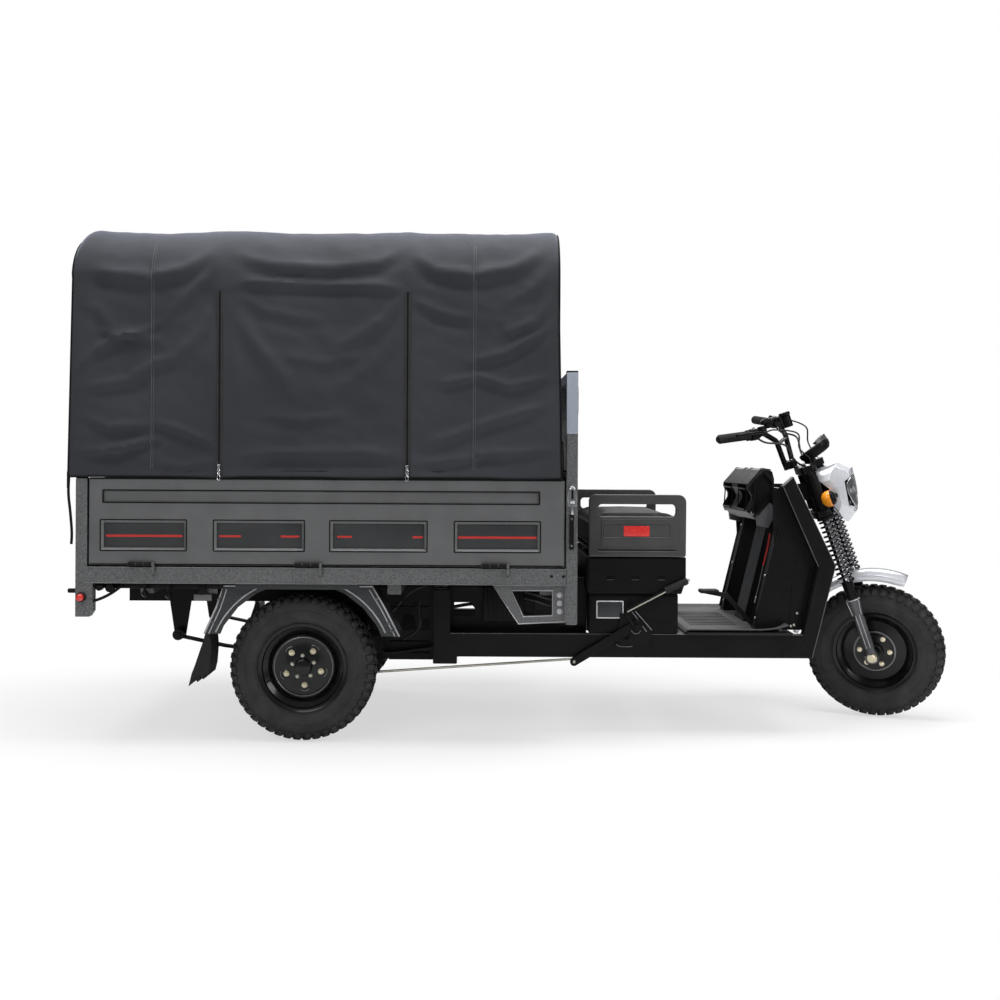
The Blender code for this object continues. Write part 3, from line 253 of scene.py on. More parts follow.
# Each material with the name of a slot beside it
MATS = {
    "bed": ("bed_grey", hammered("bed_hammer", (0.094, 0.095, 0.096), 210.0, 0.0012)),
    "bed_fine": ("bed_grey", plain("bed_paint", (0.103, 0.104, 0.105), 0.44, 0.25, 0.1, 0.0002, 500.0,
        Coat_Weight=0.15)),
    "guard": ("bed_grey", hammered("guard_hammer", (0.021, 0.022, 0.023), 210.0, 0.0012)),
    # Pale grey beads and domes on the mudguards and side steps: painted highlights along their rounded edges.
    "edge_dim": ("bed_grey", plain("pale_edge_highlight", (0.36, 0.36, 0.37), 0.42, 0.2, 0.25)),
    "arm_grey": ("plastic", plain("arm_moulding", (0.036, 0.036, 0.036), 0.46, 0.0, 0.15, 0.00012, 800.0)),
    "inset": ("bed_grey", plain("inset_panel", (0.022, 0.023, 0.024), 0.44, 0.1, 0.15, 0.0001)),
    "post_blue": ("bed_grey", hammered("post_film", (0.285, 0.315, 0.365), 420.0, 0.0002)),
    "black": ("frame_black", plain("frame_paint", (0.0055, 0.0055, 0.0058), 0.34, 0.0, 0.25, 0.00005,
        500.0, Specular_IOR_Level=0.12)),
    "matt": ("frame_black", plain("matt_black", (0.0035, 0.0035, 0.0035), 0.62, 0.0, 0.25, 0.00008,
        Specular_IOR_Level=0.12)),
    "plastic": ("plastic", plain("moulding", (0.0045, 0.0045, 0.0048), 0.38, 0.0, 0.2, 0.00012, 800.0,
        Specular_IOR_Level=0.12)),
    "canvas": ("canvas", canvas_material()),
    "canvas_thread": ("canvas", plain("cover_thread", (0.075, 0.076, 0.082), 0.7, 0.0, 0.15, 0.0001,
        700.0)),
    "tape": ("canvas", plain("zip_tape", (0.012, 0.012, 0.013), 0.75, 0.0, 0.2, 0.0002, 600.0)),
    "tyre": ("tyre", tyre_material()),
    "rim": ("rim_black", plain("rim_gloss", (0.003, 0.003, 0.0033), 0.3, 0.0, 0.2, Specular_IOR_Level=0.2,
        Coat_Weight=0.25, Coat_Roughness=0.1)),
    "chrome": ("chrome", plain("chrome_plate", (0.6, 0.6, 0.61), 0.14, 1.0, 0.06)),
    "spring": ("chrome", plain("spring_steel", (0.085, 0.085, 0.088), 0.26, 1.0, 0.15)),
    "grey_plastic": ("plastic", plain("grey_moulding", (0.06, 0.06, 0.064), 0.42, 0.0, 0.15, 0.0001,
        700.0)),
    "window_edge": ("bed_grey", hammered("window_bevel", (0.1, 0.101, 0.103), 500.0, 0.0002)),
    # Dark grey metal for bolts, screws, rivets, hooks and hub rings; its thin pale lines on black and grey
    # parts are painted highlights.
    "steel": ("frame_black", plain("dark_steel_and_painted_highlight", (0.16, 0.16, 0.165), 0.34, 0.9, 0.25, 0.0001, 700.0)),
    "cast": ("frame_black", plain("cast_grey", (0.105, 0.105, 0.11), 0.46, 0.6, 0.3, 0.0002, 500.0)),
    "zinc": ("chrome", plain("zinc_plate", (0.48, 0.46, 0.4), 0.36, 1.0, 0.15, 0.00005)),
    "brass": ("chrome", plain("yellow_zinc", (0.68, 0.62, 0.46), 0.32, 1.0, 0.22, 0.00005)),
    "silver": ("silver", plain("silver_paint", (0.66, 0.67, 0.7), 0.24, 0.35, 0.04, Coat_Weight=0.7,
        Coat_Roughness=0.08)),
    # Pale grey for the gauge's printed marks and the plate's frame; the lines it draws on the fork legs are
    # painted highlights.
    "edge": ("silver", plain("bright_edge", (0.62, 0.62, 0.62), 0.4, 0.2, 0.1)),
    "vinyl": ("cushion", vinyl_material()),
    "rubber": ("rubber", plain("rubber", (0.0085, 0.0085, 0.009), 0.62, 0.0, 0.3, 0.0003, 420.0,
        Specular_IOR_Level=0.3)),
    "mat": ("rubber", plain("floor_mat", (0.05, 0.05, 0.052), 0.6, 0.0, 0.18, 0.0004, 420.0)),
    "red": ("red", reflector_material()),
    "stripe": ("red", plain("red_film", (0.46, 0.018, 0.013), 0.38, 0.0, 0.06)),
    "amber": ("amber", lens_material("amber_lens", (1.0, 0.36, 0.02), 0.14, 0.12)),
    "glass": ("lens", lens_material("clear_lens", (0.95, 0.97, 1.0), 0.03, 0.92)),
    "cable": ("frame_black", plain("cable_black", (0.011, 0.011, 0.011), 0.38, 0.0, 0.15)),
    "cable_red": ("red", plain("cable_red", (0.55, 0.03, 0.02), 0.45, 0.0, 0.15)),
    "plate": ("silver", plain("blank_plate", (0.035, 0.036, 0.038), 0.35, 0.4, 0.12)),
}


# Geometry


def frame_along(a, b):
    along = Vector(b) - Vector(a)
    return moved(a) @ along.to_track_quat("Z", "Y").to_matrix().to_4x4(), along.length


def ring_angles(count):
    return [2 * pi * i / count for i in range(count)]


def round_off(made, edges, width, segments):
    bmesh.ops.bevel(made, geom=edges, offset=width, segments=segments, affect="EDGES", profile=0.6)


def skin(made, rows, closed_u=False, closed_v=False):
    """Quads between neighbouring rows of vertices."""
    count_u = len(rows) if closed_u else len(rows) - 1
    count_v = len(rows[0]) if closed_v else len(rows[0]) - 1
    for i in range(count_u):
        a, b = rows[i], rows[(i + 1) % len(rows)]
        for j in range(count_v):
            k = (j + 1) % len(a)
            made.faces.new((a[j], a[k], b[k], b[j]))


class Shape:
    """Pieces gathered into one mesh, in the frame of a matrix, to ride on one body."""

    def __init__(self, matrix=NO_TURN, body="chassis"):
        self.bm = bmesh.new()
        self.matrix = matrix
        self.body = body

    def absorb(self, other, turn=None):
        if turn is not None:
            other.transform(turn)
        mesh = bpy.data.meshes.new("loose")
        other.to_mesh(mesh)
        other.free()
        self.bm.from_mesh(mesh)
        bpy.data.meshes.remove(mesh)
        return self

    def box(self, x, y, z, bevel=0.0, segments=2, turn=None):
        made = bmesh.new()
        bmesh.ops.create_cube(made, size=1.0)
        x, y, z = sorted(x), sorted(y), sorted(z)
        size = Vector((x[1] - x[0], y[1] - y[0], z[1] - z[0]))
        bmesh.ops.scale(made, vec=size, verts=made.verts)
        bmesh.ops.translate(made, vec=Vector((x[0], y[0], z[0])) + size / 2, verts=made.verts)
        if bevel:
            round_off(made, made.edges, bevel, segments)
        return self.absorb(made, turn)

    def grid(self, points, closed_u=False, closed_v=False, turn=None):
        """Quads over rows of points."""
        made = bmesh.new()
        skin(made, [[made.verts.new(p) for p in row] for row in points], closed_u, closed_v)
        bmesh.ops.remove_doubles(made, verts=made.verts, dist=1e-6)
        bmesh.ops.recalc_face_normals(made, faces=made.faces)
        return self.absorb(made, turn)

    def turned(self, profile, steps=64, turn=None, closed=False):
        """(radius, offset) pairs turned about +Y."""
        rings = [[(r * cos(a), w, r * sin(a)) for r, w in profile] for a in ring_angles(steps)]
        return self.grid(rings, True, closed, turn)

    def rod(self, a, b, radius, end=None, sides=24, bevel=0.0):
        """A round bar or cone between two points, with rounded rims where asked."""
        place, length = frame_along(a, b)
        end = radius if end is None else end
        sloped = [(radius, 0), (end, length)]
        if bevel:
            sloped = [(radius - bevel, 0), (radius, bevel), (end, length - bevel), (end - bevel, length)]
        return self.turned([(0, 0), *sloped, (0, length)], sides, place @ UPRIGHT)

    def tube(self, points, radius, sides=12, closed=False):
        """A round tube through the points; the radius may be one for each point."""
        points = [Vector(p) for p in points]
        count = len(points)
        radii = radius if hasattr(radius, "__len__") else [radius] * count
        made = bmesh.new()
        normal = None
        rings = []
        for i, p in enumerate(points):
            before = points[i - 1] if i or closed else points[0]
            after = points[(i + 1) % count] if i < count - 1 or closed else points[-1]
            along = (after - before).normalized()
            if normal is None:
                normal = along.orthogonal().normalized()
            normal = (normal - along * normal.dot(along)).normalized()
            side = along.cross(normal)
            spokes = [(normal * cos(a) + side * sin(a)) * radii[i] for a in ring_angles(sides)]
            rings.append([made.verts.new(p + spoke) for spoke in spokes])
        skin(made, rings, closed, True)
        if not closed:
            made.faces.new(list(reversed(rings[0])))
            made.faces.new(rings[-1])
        bmesh.ops.recalc_face_normals(made, faces=made.faces)
        return self.absorb(made)

    def plate(self, outline, low, high, plane="XZ", bevel=0.0, holes=(), segments=1):
        """A flat outline, with any holes in it, given thickness across its plane."""
        curve = bpy.data.curves.new("outline", "CURVE")
        curve.dimensions = "2D"
        curve.fill_mode = "BOTH"
        curve.extrude = abs(high - low) / 2
        for ring in (outline, *holes):
            spline = curve.splines.new("POLY")
            spline.points.add(len(ring) - 1)
            for point, (u, v) in zip(spline.points, ring):
                point.co = (u, v, 0.0, 1.0)
            spline.use_cyclic_u = True
        drawn = bpy.data.objects.new("outline", curve)
        bpy.context.scene.collection.objects.link(drawn)
        bpy.context.view_layer.update()
        mesh = bpy.data.meshes.new_from_object(drawn.evaluated_get(bpy.context.evaluated_depsgraph_get()))
        made = bmesh.new()
        made.from_mesh(mesh)
        bpy.data.objects.remove(drawn, do_unlink=True)
        bpy.data.curves.remove(curve)
        bpy.data.meshes.remove(mesh)
        bmesh.ops.remove_doubles(made, verts=made.verts, dist=1e-6)
        bmesh.ops.recalc_face_normals(made, faces=made.faces)
        if bevel:
            rims = [e for e in made.edges if len(e.link_faces) == 2 and e.calc_face_angle() > 0.5]
            round_off(made, rims, bevel, segments)
        middle = (low + high) / 2
        if plane == "XY":
            return self.absorb(made, moved((0, 0, middle)))
        return self.absorb(made, Matrix(((1, 0, 0, 0), (0, 0, -1, middle), (0, 1, 0, 0), (0, 0, 0, 1))))

    def nut(self, centre, axis, radius, height, washer=0.0):
        """A hexagon head on an optional washer."""
        centre, axis = Vector(centre), Vector(axis).normalized()
        if washer:
            self.rod(centre, centre + axis * height * 0.2, washer, sides=16)
        return self.rod(centre, centre + axis * height, radius, sides=6, bevel=height * 0.15)

    def done(self, name, mat, angle=35.0, replaces=()):
        """Close the shape into an object with its material."""
        self.bm.transform(self.matrix)
        mesh = bpy.data.meshes.new(name)
        self.bm.to_mesh(mesh)
        self.bm.free()
        made = bpy.data.objects.new(name, mesh)
        bpy.context.scene.collection.objects.link(made)
        slot, material = MATS[mat]
        mesh.materials.append(material)
        mesh.shade_smooth()
        mesh.set_sharp_from_angle(angle=radians(angle))
        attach(made, self.body)
        if replaces:
            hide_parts(*replaces)
        return made


def thicken(made, thickness, offset=-1.0):
    wall = made.modifiers.new("wall", "SOLIDIFY")
    wall.thickness = thickness
    wall.offset = offset


def arc(centre, radius, start, end, steps):
    turns = [radians(start + (end - start) * i / steps) for i in range(steps + 1)]
    return [(centre[0] + radius * cos(a), centre[1] + radius * sin(a)) for a in turns]


def smooth(points, steps=6):
    """A smooth path through the points (Catmull-Rom)."""
    points = [Vector(p) for p in points]
    padded = [points[0] * 2 - points[1], *points, points[-1] * 2 - points[-2]]
    path = []
    for p0, p1, p2, p3 in zip(padded, padded[1:], padded[2:], padded[3:]):
        for i in range(steps):
            t = i / steps
            path.append(0.5 * (2 * p1 + (p2 - p0) * t + (2 * p0 - 5 * p1 + 4 * p2 - p3) * t ** 2
                               + (3 * p1 - p0 - 3 * p2 + p3) * t ** 3))
    return path + [points[-1]]


def rounded(points, radius, steps=6):
    """The same path with each inner corner turned into an arc."""
    path = [Vector(points[0])]
    for before, corner, after in zip(points, points[1:], points[2:]):
        corner = Vector(corner)
        back, ahead = Vector(before) - corner, Vector(after) - corner
        reach = min(radius / tan(back.angle(ahead) / 2), back.length * 0.45, ahead.length * 0.45)
        start, end = corner + back.normalized() * reach, corner + ahead.normalized() * reach
        for i in range(steps + 1):
            t = i / steps
            path.append(start * (1 - t) ** 2 + corner * 2 * t * (1 - t) + end * t * t)
    return path + [Vector(points[-1])]


def at_y(y, outline):
    """An outline of (x, z) points stood up at one y."""
    return [Vector((x, y, z)) for x, z in outline]


def at_side(side, points):
    """Points given for the left-hand side, on the side asked for."""
    return [Vector((x, side * y, z)) for x, y, z in points]


def rect(x, z, radius=0.0, steps=3):
    if not radius:
        return [(x[0], z[0]), (x[1], z[0]), (x[1], z[1]), (x[0], z[1])]
    corners = ((x[1] - radius, z[1] - radius), (x[0] + radius, z[1] - radius),
               (x[0] + radius, z[0] + radius), (x[1] - radius, z[0] + radius))
    return [p for k, corner in enumerate(corners) for p in arc(corner, radius, 90 * k, 90 * k + 90, steps)]


def paint_node(node, mat):
    made = frame["nodes"][node]
    made.data.materials.clear()
    made.data.materials.append(MATS[mat][1])


# Camera, floor and light

SENSOR = 36.0
FOCAL_RATIO = 1.243
CAMERA_AT = (-0.205, -5.2, 1.06)
CAMERA_ROLL = radians(0.3)
CAMERA_SHIFT = (0.02, -0.04)
FLOOR_HALF = 30.0
LAMPS = (
    ("top", (-0.2, -0.6, 4.6), (-0.2, 0.0, 0.6), (5.0, 2.6), 250.0),
    ("front_left", (4.0, -3.4, 3.0), (0.6, 0.0, 0.7), (2.0, 2.0), 95.0),
    ("near", (-2.6, -4.6, 3.2), (-0.4, 0.0, 0.7), (3.0, 1.4), 62.0),
    ("rear", (-4.4, 2.6, 2.8), (-0.6, 0.0, 0.9), (2.2, 2.2), 55.0),
    ("far", (2.0, 4.4, 2.8), (0.0, 0.0, 0.9), (3.2, 2.0), 60.0),
)


def floor_material():
    """Pale where it takes the object's shadow, and white for the camera further out."""
    made = Nodes("studio_floor", (0.86, 0.86, 0.86), 0.9)
    far = made.add("ShaderNodeVectorMath", operation="LENGTH")
    made.link(made.stretched((0.42, 1.0, 1.0)), far.inputs[0])
    fade = made.add("ShaderNodeMapRange", interpolation_type="SMOOTHSTEP")
    for key, value in (("From Min", 0.75), ("From Max", 1.6), ("To Min", 0.6)):
        fade.inputs[key].default_value = value
    made.link(far.outputs["Value"], fade.inputs["Value"])
    rays = made.add("ShaderNodeLightPath")
    seen = made.add("ShaderNodeMath", operation="MULTIPLY")
    made.link(fade.outputs["Result"], seen.inputs[0])
    made.link(rays.outputs["Is Camera Ray"], seen.inputs[1])
    white = made.add("ShaderNodeEmission")
    mix = made.add("ShaderNodeMixShader")
    made.link(seen.outputs["Value"], mix.inputs["Fac"])
    made.link(made.shader.outputs["BSDF"], mix.inputs[1])
    made.link(white.outputs["Emission"], mix.inputs[2])
    made.link(mix.outputs["Shader"], made.tree.nodes["Material Output"].inputs["Surface"])
    return made.material


def studio():
    camera = bpy.data.objects.new("camera", bpy.data.cameras.new("camera"))
    bpy.context.scene.collection.objects.link(camera)
    bpy.context.scene.camera = camera
    camera.data.sensor_width = SENSOR
    camera.data.lens = FOCAL_RATIO * SENSOR
    camera.data.shift_x, camera.data.shift_y = CAMERA_SHIFT
    camera.data.clip_end = 60.0
    camera.matrix_world = moved(CAMERA_AT) @ UPRIGHT @ Matrix.Rotation(CAMERA_ROLL, 4, "Z")

    floor = bpy.data.objects.new("floor", bpy.data.meshes.new("floor"))
    shape = bmesh.new()
    bmesh.ops.create_grid(shape, x_segments=1, y_segments=1, size=FLOOR_HALF)
    shape.to_mesh(floor.data)
    shape.free()
    bpy.context.scene.collection.objects.link(floor)
    floor.data.materials.append(floor_material())

    world = bpy.data.worlds.new("studio")
    bpy.context.scene.world = world
    world.use_nodes = True
    tree = world.node_tree
    back = tree.nodes["Background"]
    back.inputs["Color"].default_value = (0.92, 0.95, 1.0, 1)
    back.inputs["Strength"].default_value = 0.24
    seen = tree.nodes.new("ShaderNodeBackground")
    seen.inputs["Color"].default_value = (1, 1, 1, 1)
    seen.inputs["Strength"].default_value = 1.0
    rays = tree.nodes.new("ShaderNodeLightPath")
    mix = tree.nodes.new("ShaderNodeMixShader")
    tree.links.new(rays.outputs["Is Camera Ray"], mix.inputs["Fac"])
    tree.links.new(back.outputs["Background"], mix.inputs[1])
    tree.links.new(seen.outputs["Background"], mix.inputs[2])
    tree.links.new(mix.outputs["Shader"], tree.nodes["World Output"].inputs["Surface"])

    for name, place, aim, size, power in LAMPS:
        lamp = bpy.data.objects.new(name, bpy.data.lights.new(name, "AREA"))
        lamp.data.shape = "RECTANGLE"
        lamp.data.size, lamp.data.size_y = size
        lamp.data.energy = power
        lamp.location = place
        lamp.rotation_mode = "QUATERNION"
        lamp.rotation_quaternion = (Vector(aim) - Vector(place)).to_track_quat("-Z", "Y")
        bpy.context.scene.collection.objects.link(lamp)
    bpy.context.scene.view_settings.view_transform = "Standard"


# Wheels

CARCASS = [
    (0.156, 0.0385), (0.164, 0.0415), (0.17, 0.045), (0.172, 0.049), (0.1745, 0.05), (0.176, 0.0485),
    (0.185, 0.052), (0.198, 0.0553), (0.21, 0.056), (0.2112, 0.0572), (0.2136, 0.0572), (0.2148, 0.056),
    (0.228, 0.0556), (0.239, 0.0543), (0.248, 0.0515), (0.255, 0.047), (0.2605, 0.04), (0.2635, 0.03),
    (0.2652, 0.015), (0.2656, 0.0),
]
PITCHES = 46


def tread_block(bm, profile, starts, ends, lift):
    """One block over a stretch of the tyre's outline: (radius, offset) points between two skewed angles."""
    rows = []
    last = len(profile) - 1
    for i, (r, w) in enumerate(profile):
        t = i / last
        a0 = starts[0] + (ends[0] - starts[0]) * t
        a1 = starts[1] + (ends[1] - starts[1]) * t
        middle, half = (a0 + a1) / 2, (a1 - a0) / 2
        before, after = profile[max(i - 1, 0)], profile[min(i + 1, last)]
        along = Vector((after[0] - before[0], after[1] - before[1])).normalized()
        normal = Vector((-along.y, along.x))
        if normal.x < 0:
            normal = -normal
        height = lift * (0.82 if i in (0, last) else 1.0)
        levels = ((-1.0, -0.002), (-0.94, height * 0.85), (-0.8, height))
        ring = []
        for spread, up in levels + tuple((-spread, up) for spread, up in reversed(levels)):
            a = middle + half * spread
            radius = r + normal.x * up
            ring.append(bm.verts.new((radius * cos(a), w + normal.y * up, radius * sin(a))))
        rows.append(ring)
    skin(bm, rows, closed_v=True)
    bm.faces.new(list(reversed(rows[0])))
    bm.faces.new(rows[-1])


def tyre(name, body, place):
    """The carcass with three rows of blocks on each half: shoulder, side wall and crown."""
    shape = Shape(place, body)
    outline = CARCASS + [(r, -w) for r, w in reversed(CARCASS[:-1])]
    outline += [(0.1545, -0.034), (0.1545, 0.034)]
    shape.turned(outline, 144, closed=True)
    step = 2 * pi / PITCHES
    for i in range(PITCHES):
        for side in (-1, 1):
            b = step * i + (step / 2 if side > 0 else 0.0)
            c = b + step * 0.42
            for points, starts, ends, lift in (
                (((0.244, 0.053), (0.252, 0.0495), (0.259, 0.043), (0.2628, 0.033)),
                 (b, b + step * 0.62), (b + step * 0.1, b + step * 0.72), 0.0085),
                (((0.231, 0.0553), (0.242, 0.0538)),
                 (b + step * 0.12, b + step * 0.46), (b + step * 0.06, b + step * 0.52), 0.002),
                (((0.2632, 0.028), (0.2648, 0.017), (0.2655, 0.0045)),
                 (c, c + step * 0.6), (c - step * 0.22, c + step * 0.34), 0.0118),
            ):
                tread_block(shape.bm, [(r, side * w) for r, w in points], starts, ends, lift)
    bmesh.ops.recalc_face_normals(shape.bm, faces=shape.bm.faces)
    return shape.done(name, "tyre", 28, [name])


RIM_HALF = [
    (0.133, 0.018), (0.14, 0.0245), (0.1478, 0.03), (0.15, 0.0318), (0.1508, 0.036), (0.152, 0.0385),
    (0.1535, 0.0425), (0.16, 0.044), (0.1648, 0.0462), (0.1662, 0.0468), (0.1672, 0.0455), (0.1662, 0.044),
    (0.16, 0.0405), (0.1532, 0.036), (0.1525, 0.028), (0.137, 0.017),
]


def rim_profile(face, drum):
    """The section of a wheel: its outer face, the rim from edge to edge, and the brake drum behind."""
    return [*face, *RIM_HALF, *((r, -w) for r, w in reversed(RIM_HALF)), *drum]


def spoke(a):
    return Vector((cos(a), 0, sin(a)))


def outward(distance):
    """A step along the wheel's axle."""
    return Vector((0, distance, 0))


def rear_wheel(side, word):
    place = moved((REAR_X, side * HALF_TRACK, TYRE_R))
    if side < 0:
        place = place @ HALF_TURN
    body = f"rear_wheel_{word}"
    tyre(f"rear_{word}_tyre", body, place)
    face = [(0.0, 0.0455), (0.026, 0.0455), (0.03, 0.0435), (0.0318, 0.04), (0.0322, 0.024), (0.0345, 0.0215),
            (0.055, 0.0205), (0.06, 0.019), (0.102, 0.0165), (0.112, 0.018), (0.1165, 0.0195),
            (0.119, 0.0175), (0.121, 0.012), (0.127, 0.0075), (0.131, 0.0105)]
    drum = [(0.128, 0.0), (0.086, 0.002), (0.085, 0.0), (0.085, -0.0545), (0.0182, -0.0545), (0.0182, 0.01),
            (0.0, 0.01)]
    rim = Shape(place, body)
    rim.turned(rim_profile(face, drum), 96)
    rim.done(f"rear_{word}_rim", "rim", 28, [f"rear_{word}_rim"])
    nuts, small, edges, dark = (Shape(place, body) for _ in range(4))
    for i in range(5):
        a = radians(126 + 72 * i - 4)
        u = spoke(a)
        across = Vector((-u.z, 0, u.x))
        seat = u * 0.0685 + outward(0.0175)
        dark.turned([(0.0, 0.0), (0.015, 0.0), (0.0165, 0.0016), (0.014, 0.0032), (0.0, 0.0032)], 24,
                    moved(seat - outward(0.001)))
        nuts.nut(seat + outward(0.002), (0, 1, 0), 0.0098, 0.0125, 0.0112)
        nuts.rod(seat + outward(0.01), seat + outward(0.0185), 0.005, sides=16, bevel=0.0008)
        # Pale arcs on the outer rims of the nut seats: painted highlights.
        turns = [radians(-46 + 92 * k / 8) for k in range(9)]
        ridge = [seat + (u * cos(b) + across * sin(b)) * 0.0225 + outward(0.0012) for b in turns]
        edges.tube(ridge, 0.0016, 8)
        a += radians(36)
        small.nut(spoke(a) * 0.0425 + outward(0.0205), (0, 1, 0), 0.0062, 0.0075, 0.0072)
    nuts.done(f"wheel_nuts_{word}", "brass")
    small.done(f"hub_bolts_{word}", "zinc")
    dark.done(f"nut_seats_{word}", "rim")
    # The rim's ridge round the nuts, drawn in pale metal: a painted highlight.
    edges.turned([(0.1085, 0.0176), (0.11, 0.0186), (0.1118, 0.018), (0.1105, 0.017)], 96, closed=True)
    edges.done(f"nut_ridges_{word}", "steel")
    valve = Shape(place, body)
    valve.rod((0.12, 0.012, -0.05), (0.126, 0.036, -0.053), 0.0034, 0.0028, 12, 0.0006)
    valve.done(f"valve_{word}", "rubber")


def front_wheel():
    place = FRONT_WHEEL @ HALF_TURN
    tyre("front_tyre", "front_wheel", place)
    face = [(0.0182, 0.0495), (0.03, 0.0495), (0.0335, 0.047), (0.035, 0.04), (0.0365, 0.023),
            (0.048, 0.02), (0.076, 0.019), (0.08, 0.02), (0.083, 0.019), (0.085, 0.015),
            (0.105, 0.011), (0.124, 0.0075), (0.129, 0.012)]
    drum = [(0.128, 0.0), (0.086, 0.0), (0.085, -0.002), (0.085, -0.037), (0.08, -0.046), (0.072, -0.0495),
            (0.0182, -0.0495)]
    rim = Shape(place, "front_wheel")
    rim.turned(rim_profile(face, drum), 96, closed=True)
    rim.done("front_rim", "rim", 28, ["front_rim"])
    bolts = Shape(place, "front_wheel")
    for i in range(6):
        u = spoke(radians(60 * i + 20))
        bolts.nut(u * 0.06 + outward(0.0185), (0, 1, 0), 0.0085, 0.01, 0.0105)
        bolts.nut(u * 0.058 + outward(-0.049), (0, -1, 0), 0.0085, 0.009, 0.0105)
    bolts.done("front_wheel_bolts", "brass")
    ring = Shape(place, "front_wheel")
    for w, sign in ((0.0205, 1), (-0.0415, -1)):
        ring.turned([(0.076, w), (0.079, w + sign * 0.003), (0.0845, w + sign * 0.0018), (0.0853, w)], 72,
                    closed=True)
    ring.done("hub_rings", "steel")


# Canopy

COVER_HALF = 0.664
COVER_TOP = 1.925
COVER_R = 0.21
COVER_REAR = -1.715
COVER_FRONT = 0.097
HEM = 0.9915
FRONT_HEM = 1.165
WALL_TOP = COVER_TOP - COVER_R
CRESTS = ((-1.67, -1.64), (-1.166, -1.088), (-0.492, -0.464), (0.036, 0.06))
ZIPS = (-1.157, -0.471)
SEAMS = (-1.409, -0.2305)

# Folds drawn on a wall: path of (x, z) points, height of the ridge, its width, depth of the undercut
FOLDS = [
    ([(-1.69, 1.752), (-1.56, 1.735), (-1.42, 1.722), (-1.29, 1.752), (-1.185, 1.815)], 0.013, 0.026, 1.2),
    ([(-1.135, 1.835), (-1.05, 1.788), (-0.96, 1.77), (-0.75, 1.762), (-0.58, 1.782), (-0.495, 1.828)],
     0.012, 0.022, 1.3),
    ([(-1.15, 1.69), (-1.02, 1.706), (-0.75, 1.697), (-0.6, 1.694), (-0.485, 1.68)], 0.01, 0.018, 1.2),
    ([(-0.46, 1.82), (-0.37, 1.752), (-0.225, 1.735), (-0.08, 1.765), (0.04, 1.835)], 0.014, 0.026, 1.2),
    ([(-1.16, 1.79), (-1.235, 1.7), (-1.33, 1.6)], 0.008, 0.022, 0.9),
    ([(-1.152, 1.68), (-1.06, 1.52), (-0.92, 1.35)], 0.011, 0.03, 1.0),
    ([(-1.15, 1.66), (-1.105, 1.45), (-1.075, 1.23)], 0.007, 0.02, 0.9),
    ([(-1.168, 1.64), (-1.225, 1.52), (-1.33, 1.415)], 0.006, 0.022, 0.9),
    ([(-1.145, 1.69), (-0.99, 1.6), (-0.8, 1.565)], 0.006, 0.022, 0.8),
    ([(-0.48, 1.67), (-0.57, 1.56), (-0.72, 1.475)], 0.008, 0.024, 0.9),
    ([(-0.48, 1.56), (-0.6, 1.4), (-0.76, 1.3)], 0.005, 0.026, 0.8),
    ([(-0.46, 1.645), (-0.36, 1.6), (-0.235, 1.57)], 0.009, 0.018, 1.1),
    ([(-1.69, 1.385), (-1.562, 1.488), (-1.5, 1.515), (-1.4, 1.488)], 0.013, 0.017, 1.2),
    ([(-1.6, 1.53), (-1.52, 1.505), (-1.44, 1.525), (-1.37, 1.56)], 0.007, 0.013, 1.0),
    ([(-1.69, 1.64), (-1.6, 1.6), (-1.54, 1.53)], 0.007, 0.024, 0.9),
    ([(-1.64, 1.318), (-1.49, 1.345), (-1.4, 1.408), (-1.33, 1.43)], 0.011, 0.02, 1.1),
    ([(-1.69, 1.225), (-1.56, 1.172), (-1.4, 1.182)], 0.01, 0.017, 1.2),
    ([(-1.69, 1.08), (-1.53, 1.093), (-1.39, 1.132)], 0.013, 0.017, 1.3),
    ([(-1.41, 1.195), (-1.28, 1.155), (-1.175, 1.105)], 0.009, 0.016, 1.1),
    ([(-1.4, 1.045), (-1.29, 1.03), (-1.17, 1.05)], 0.006, 0.014, 1.0),
    ([(-1.12, 1.062), (-0.96, 1.08), (-0.62, 1.084), (-0.48, 1.066)], 0.01, 0.02, 1.2),
    ([(-1.0, 1.22), (-0.86, 1.2), (-0.7, 1.225)], 0.005, 0.018, 0.8),
    ([(-0.9, 1.43), (-0.78, 1.41), (-0.66, 1.435)], 0.005, 0.016, 0.8),
    ([(-0.43, 1.045), (-0.23, 1.066), (-0.2, 1.08), (0.07, 1.096)], 0.01, 0.016, 1.2),
    ([(-0.38, 1.118), (-0.165, 1.2), (0.075, 1.27)], 0.01, 0.019, 1.1),
    ([(-0.34, 1.338), (-0.212, 1.364), (-0.1, 1.328), (0.06, 1.362)], 0.011, 0.016, 1.2),
    ([(-0.26, 1.415), (-0.11, 1.45), (0.06, 1.55)], 0.01, 0.018, 1.1),
    ([(-0.11, 1.525), (0.0, 1.57), (0.07, 1.66)], 0.009, 0.018, 1.0),
    ([(-0.1, 1.64), (0.0, 1.69), (0.06, 1.76)], 0.006, 0.02, 0.8),
]
FOLD_GAIN = 1.45
STEEP = 0.55
CLOTH_THICK = 0.0016
END_REACH = 0.12
CORNER_REAR = 0.06
CORNER_FRONT = 0.024


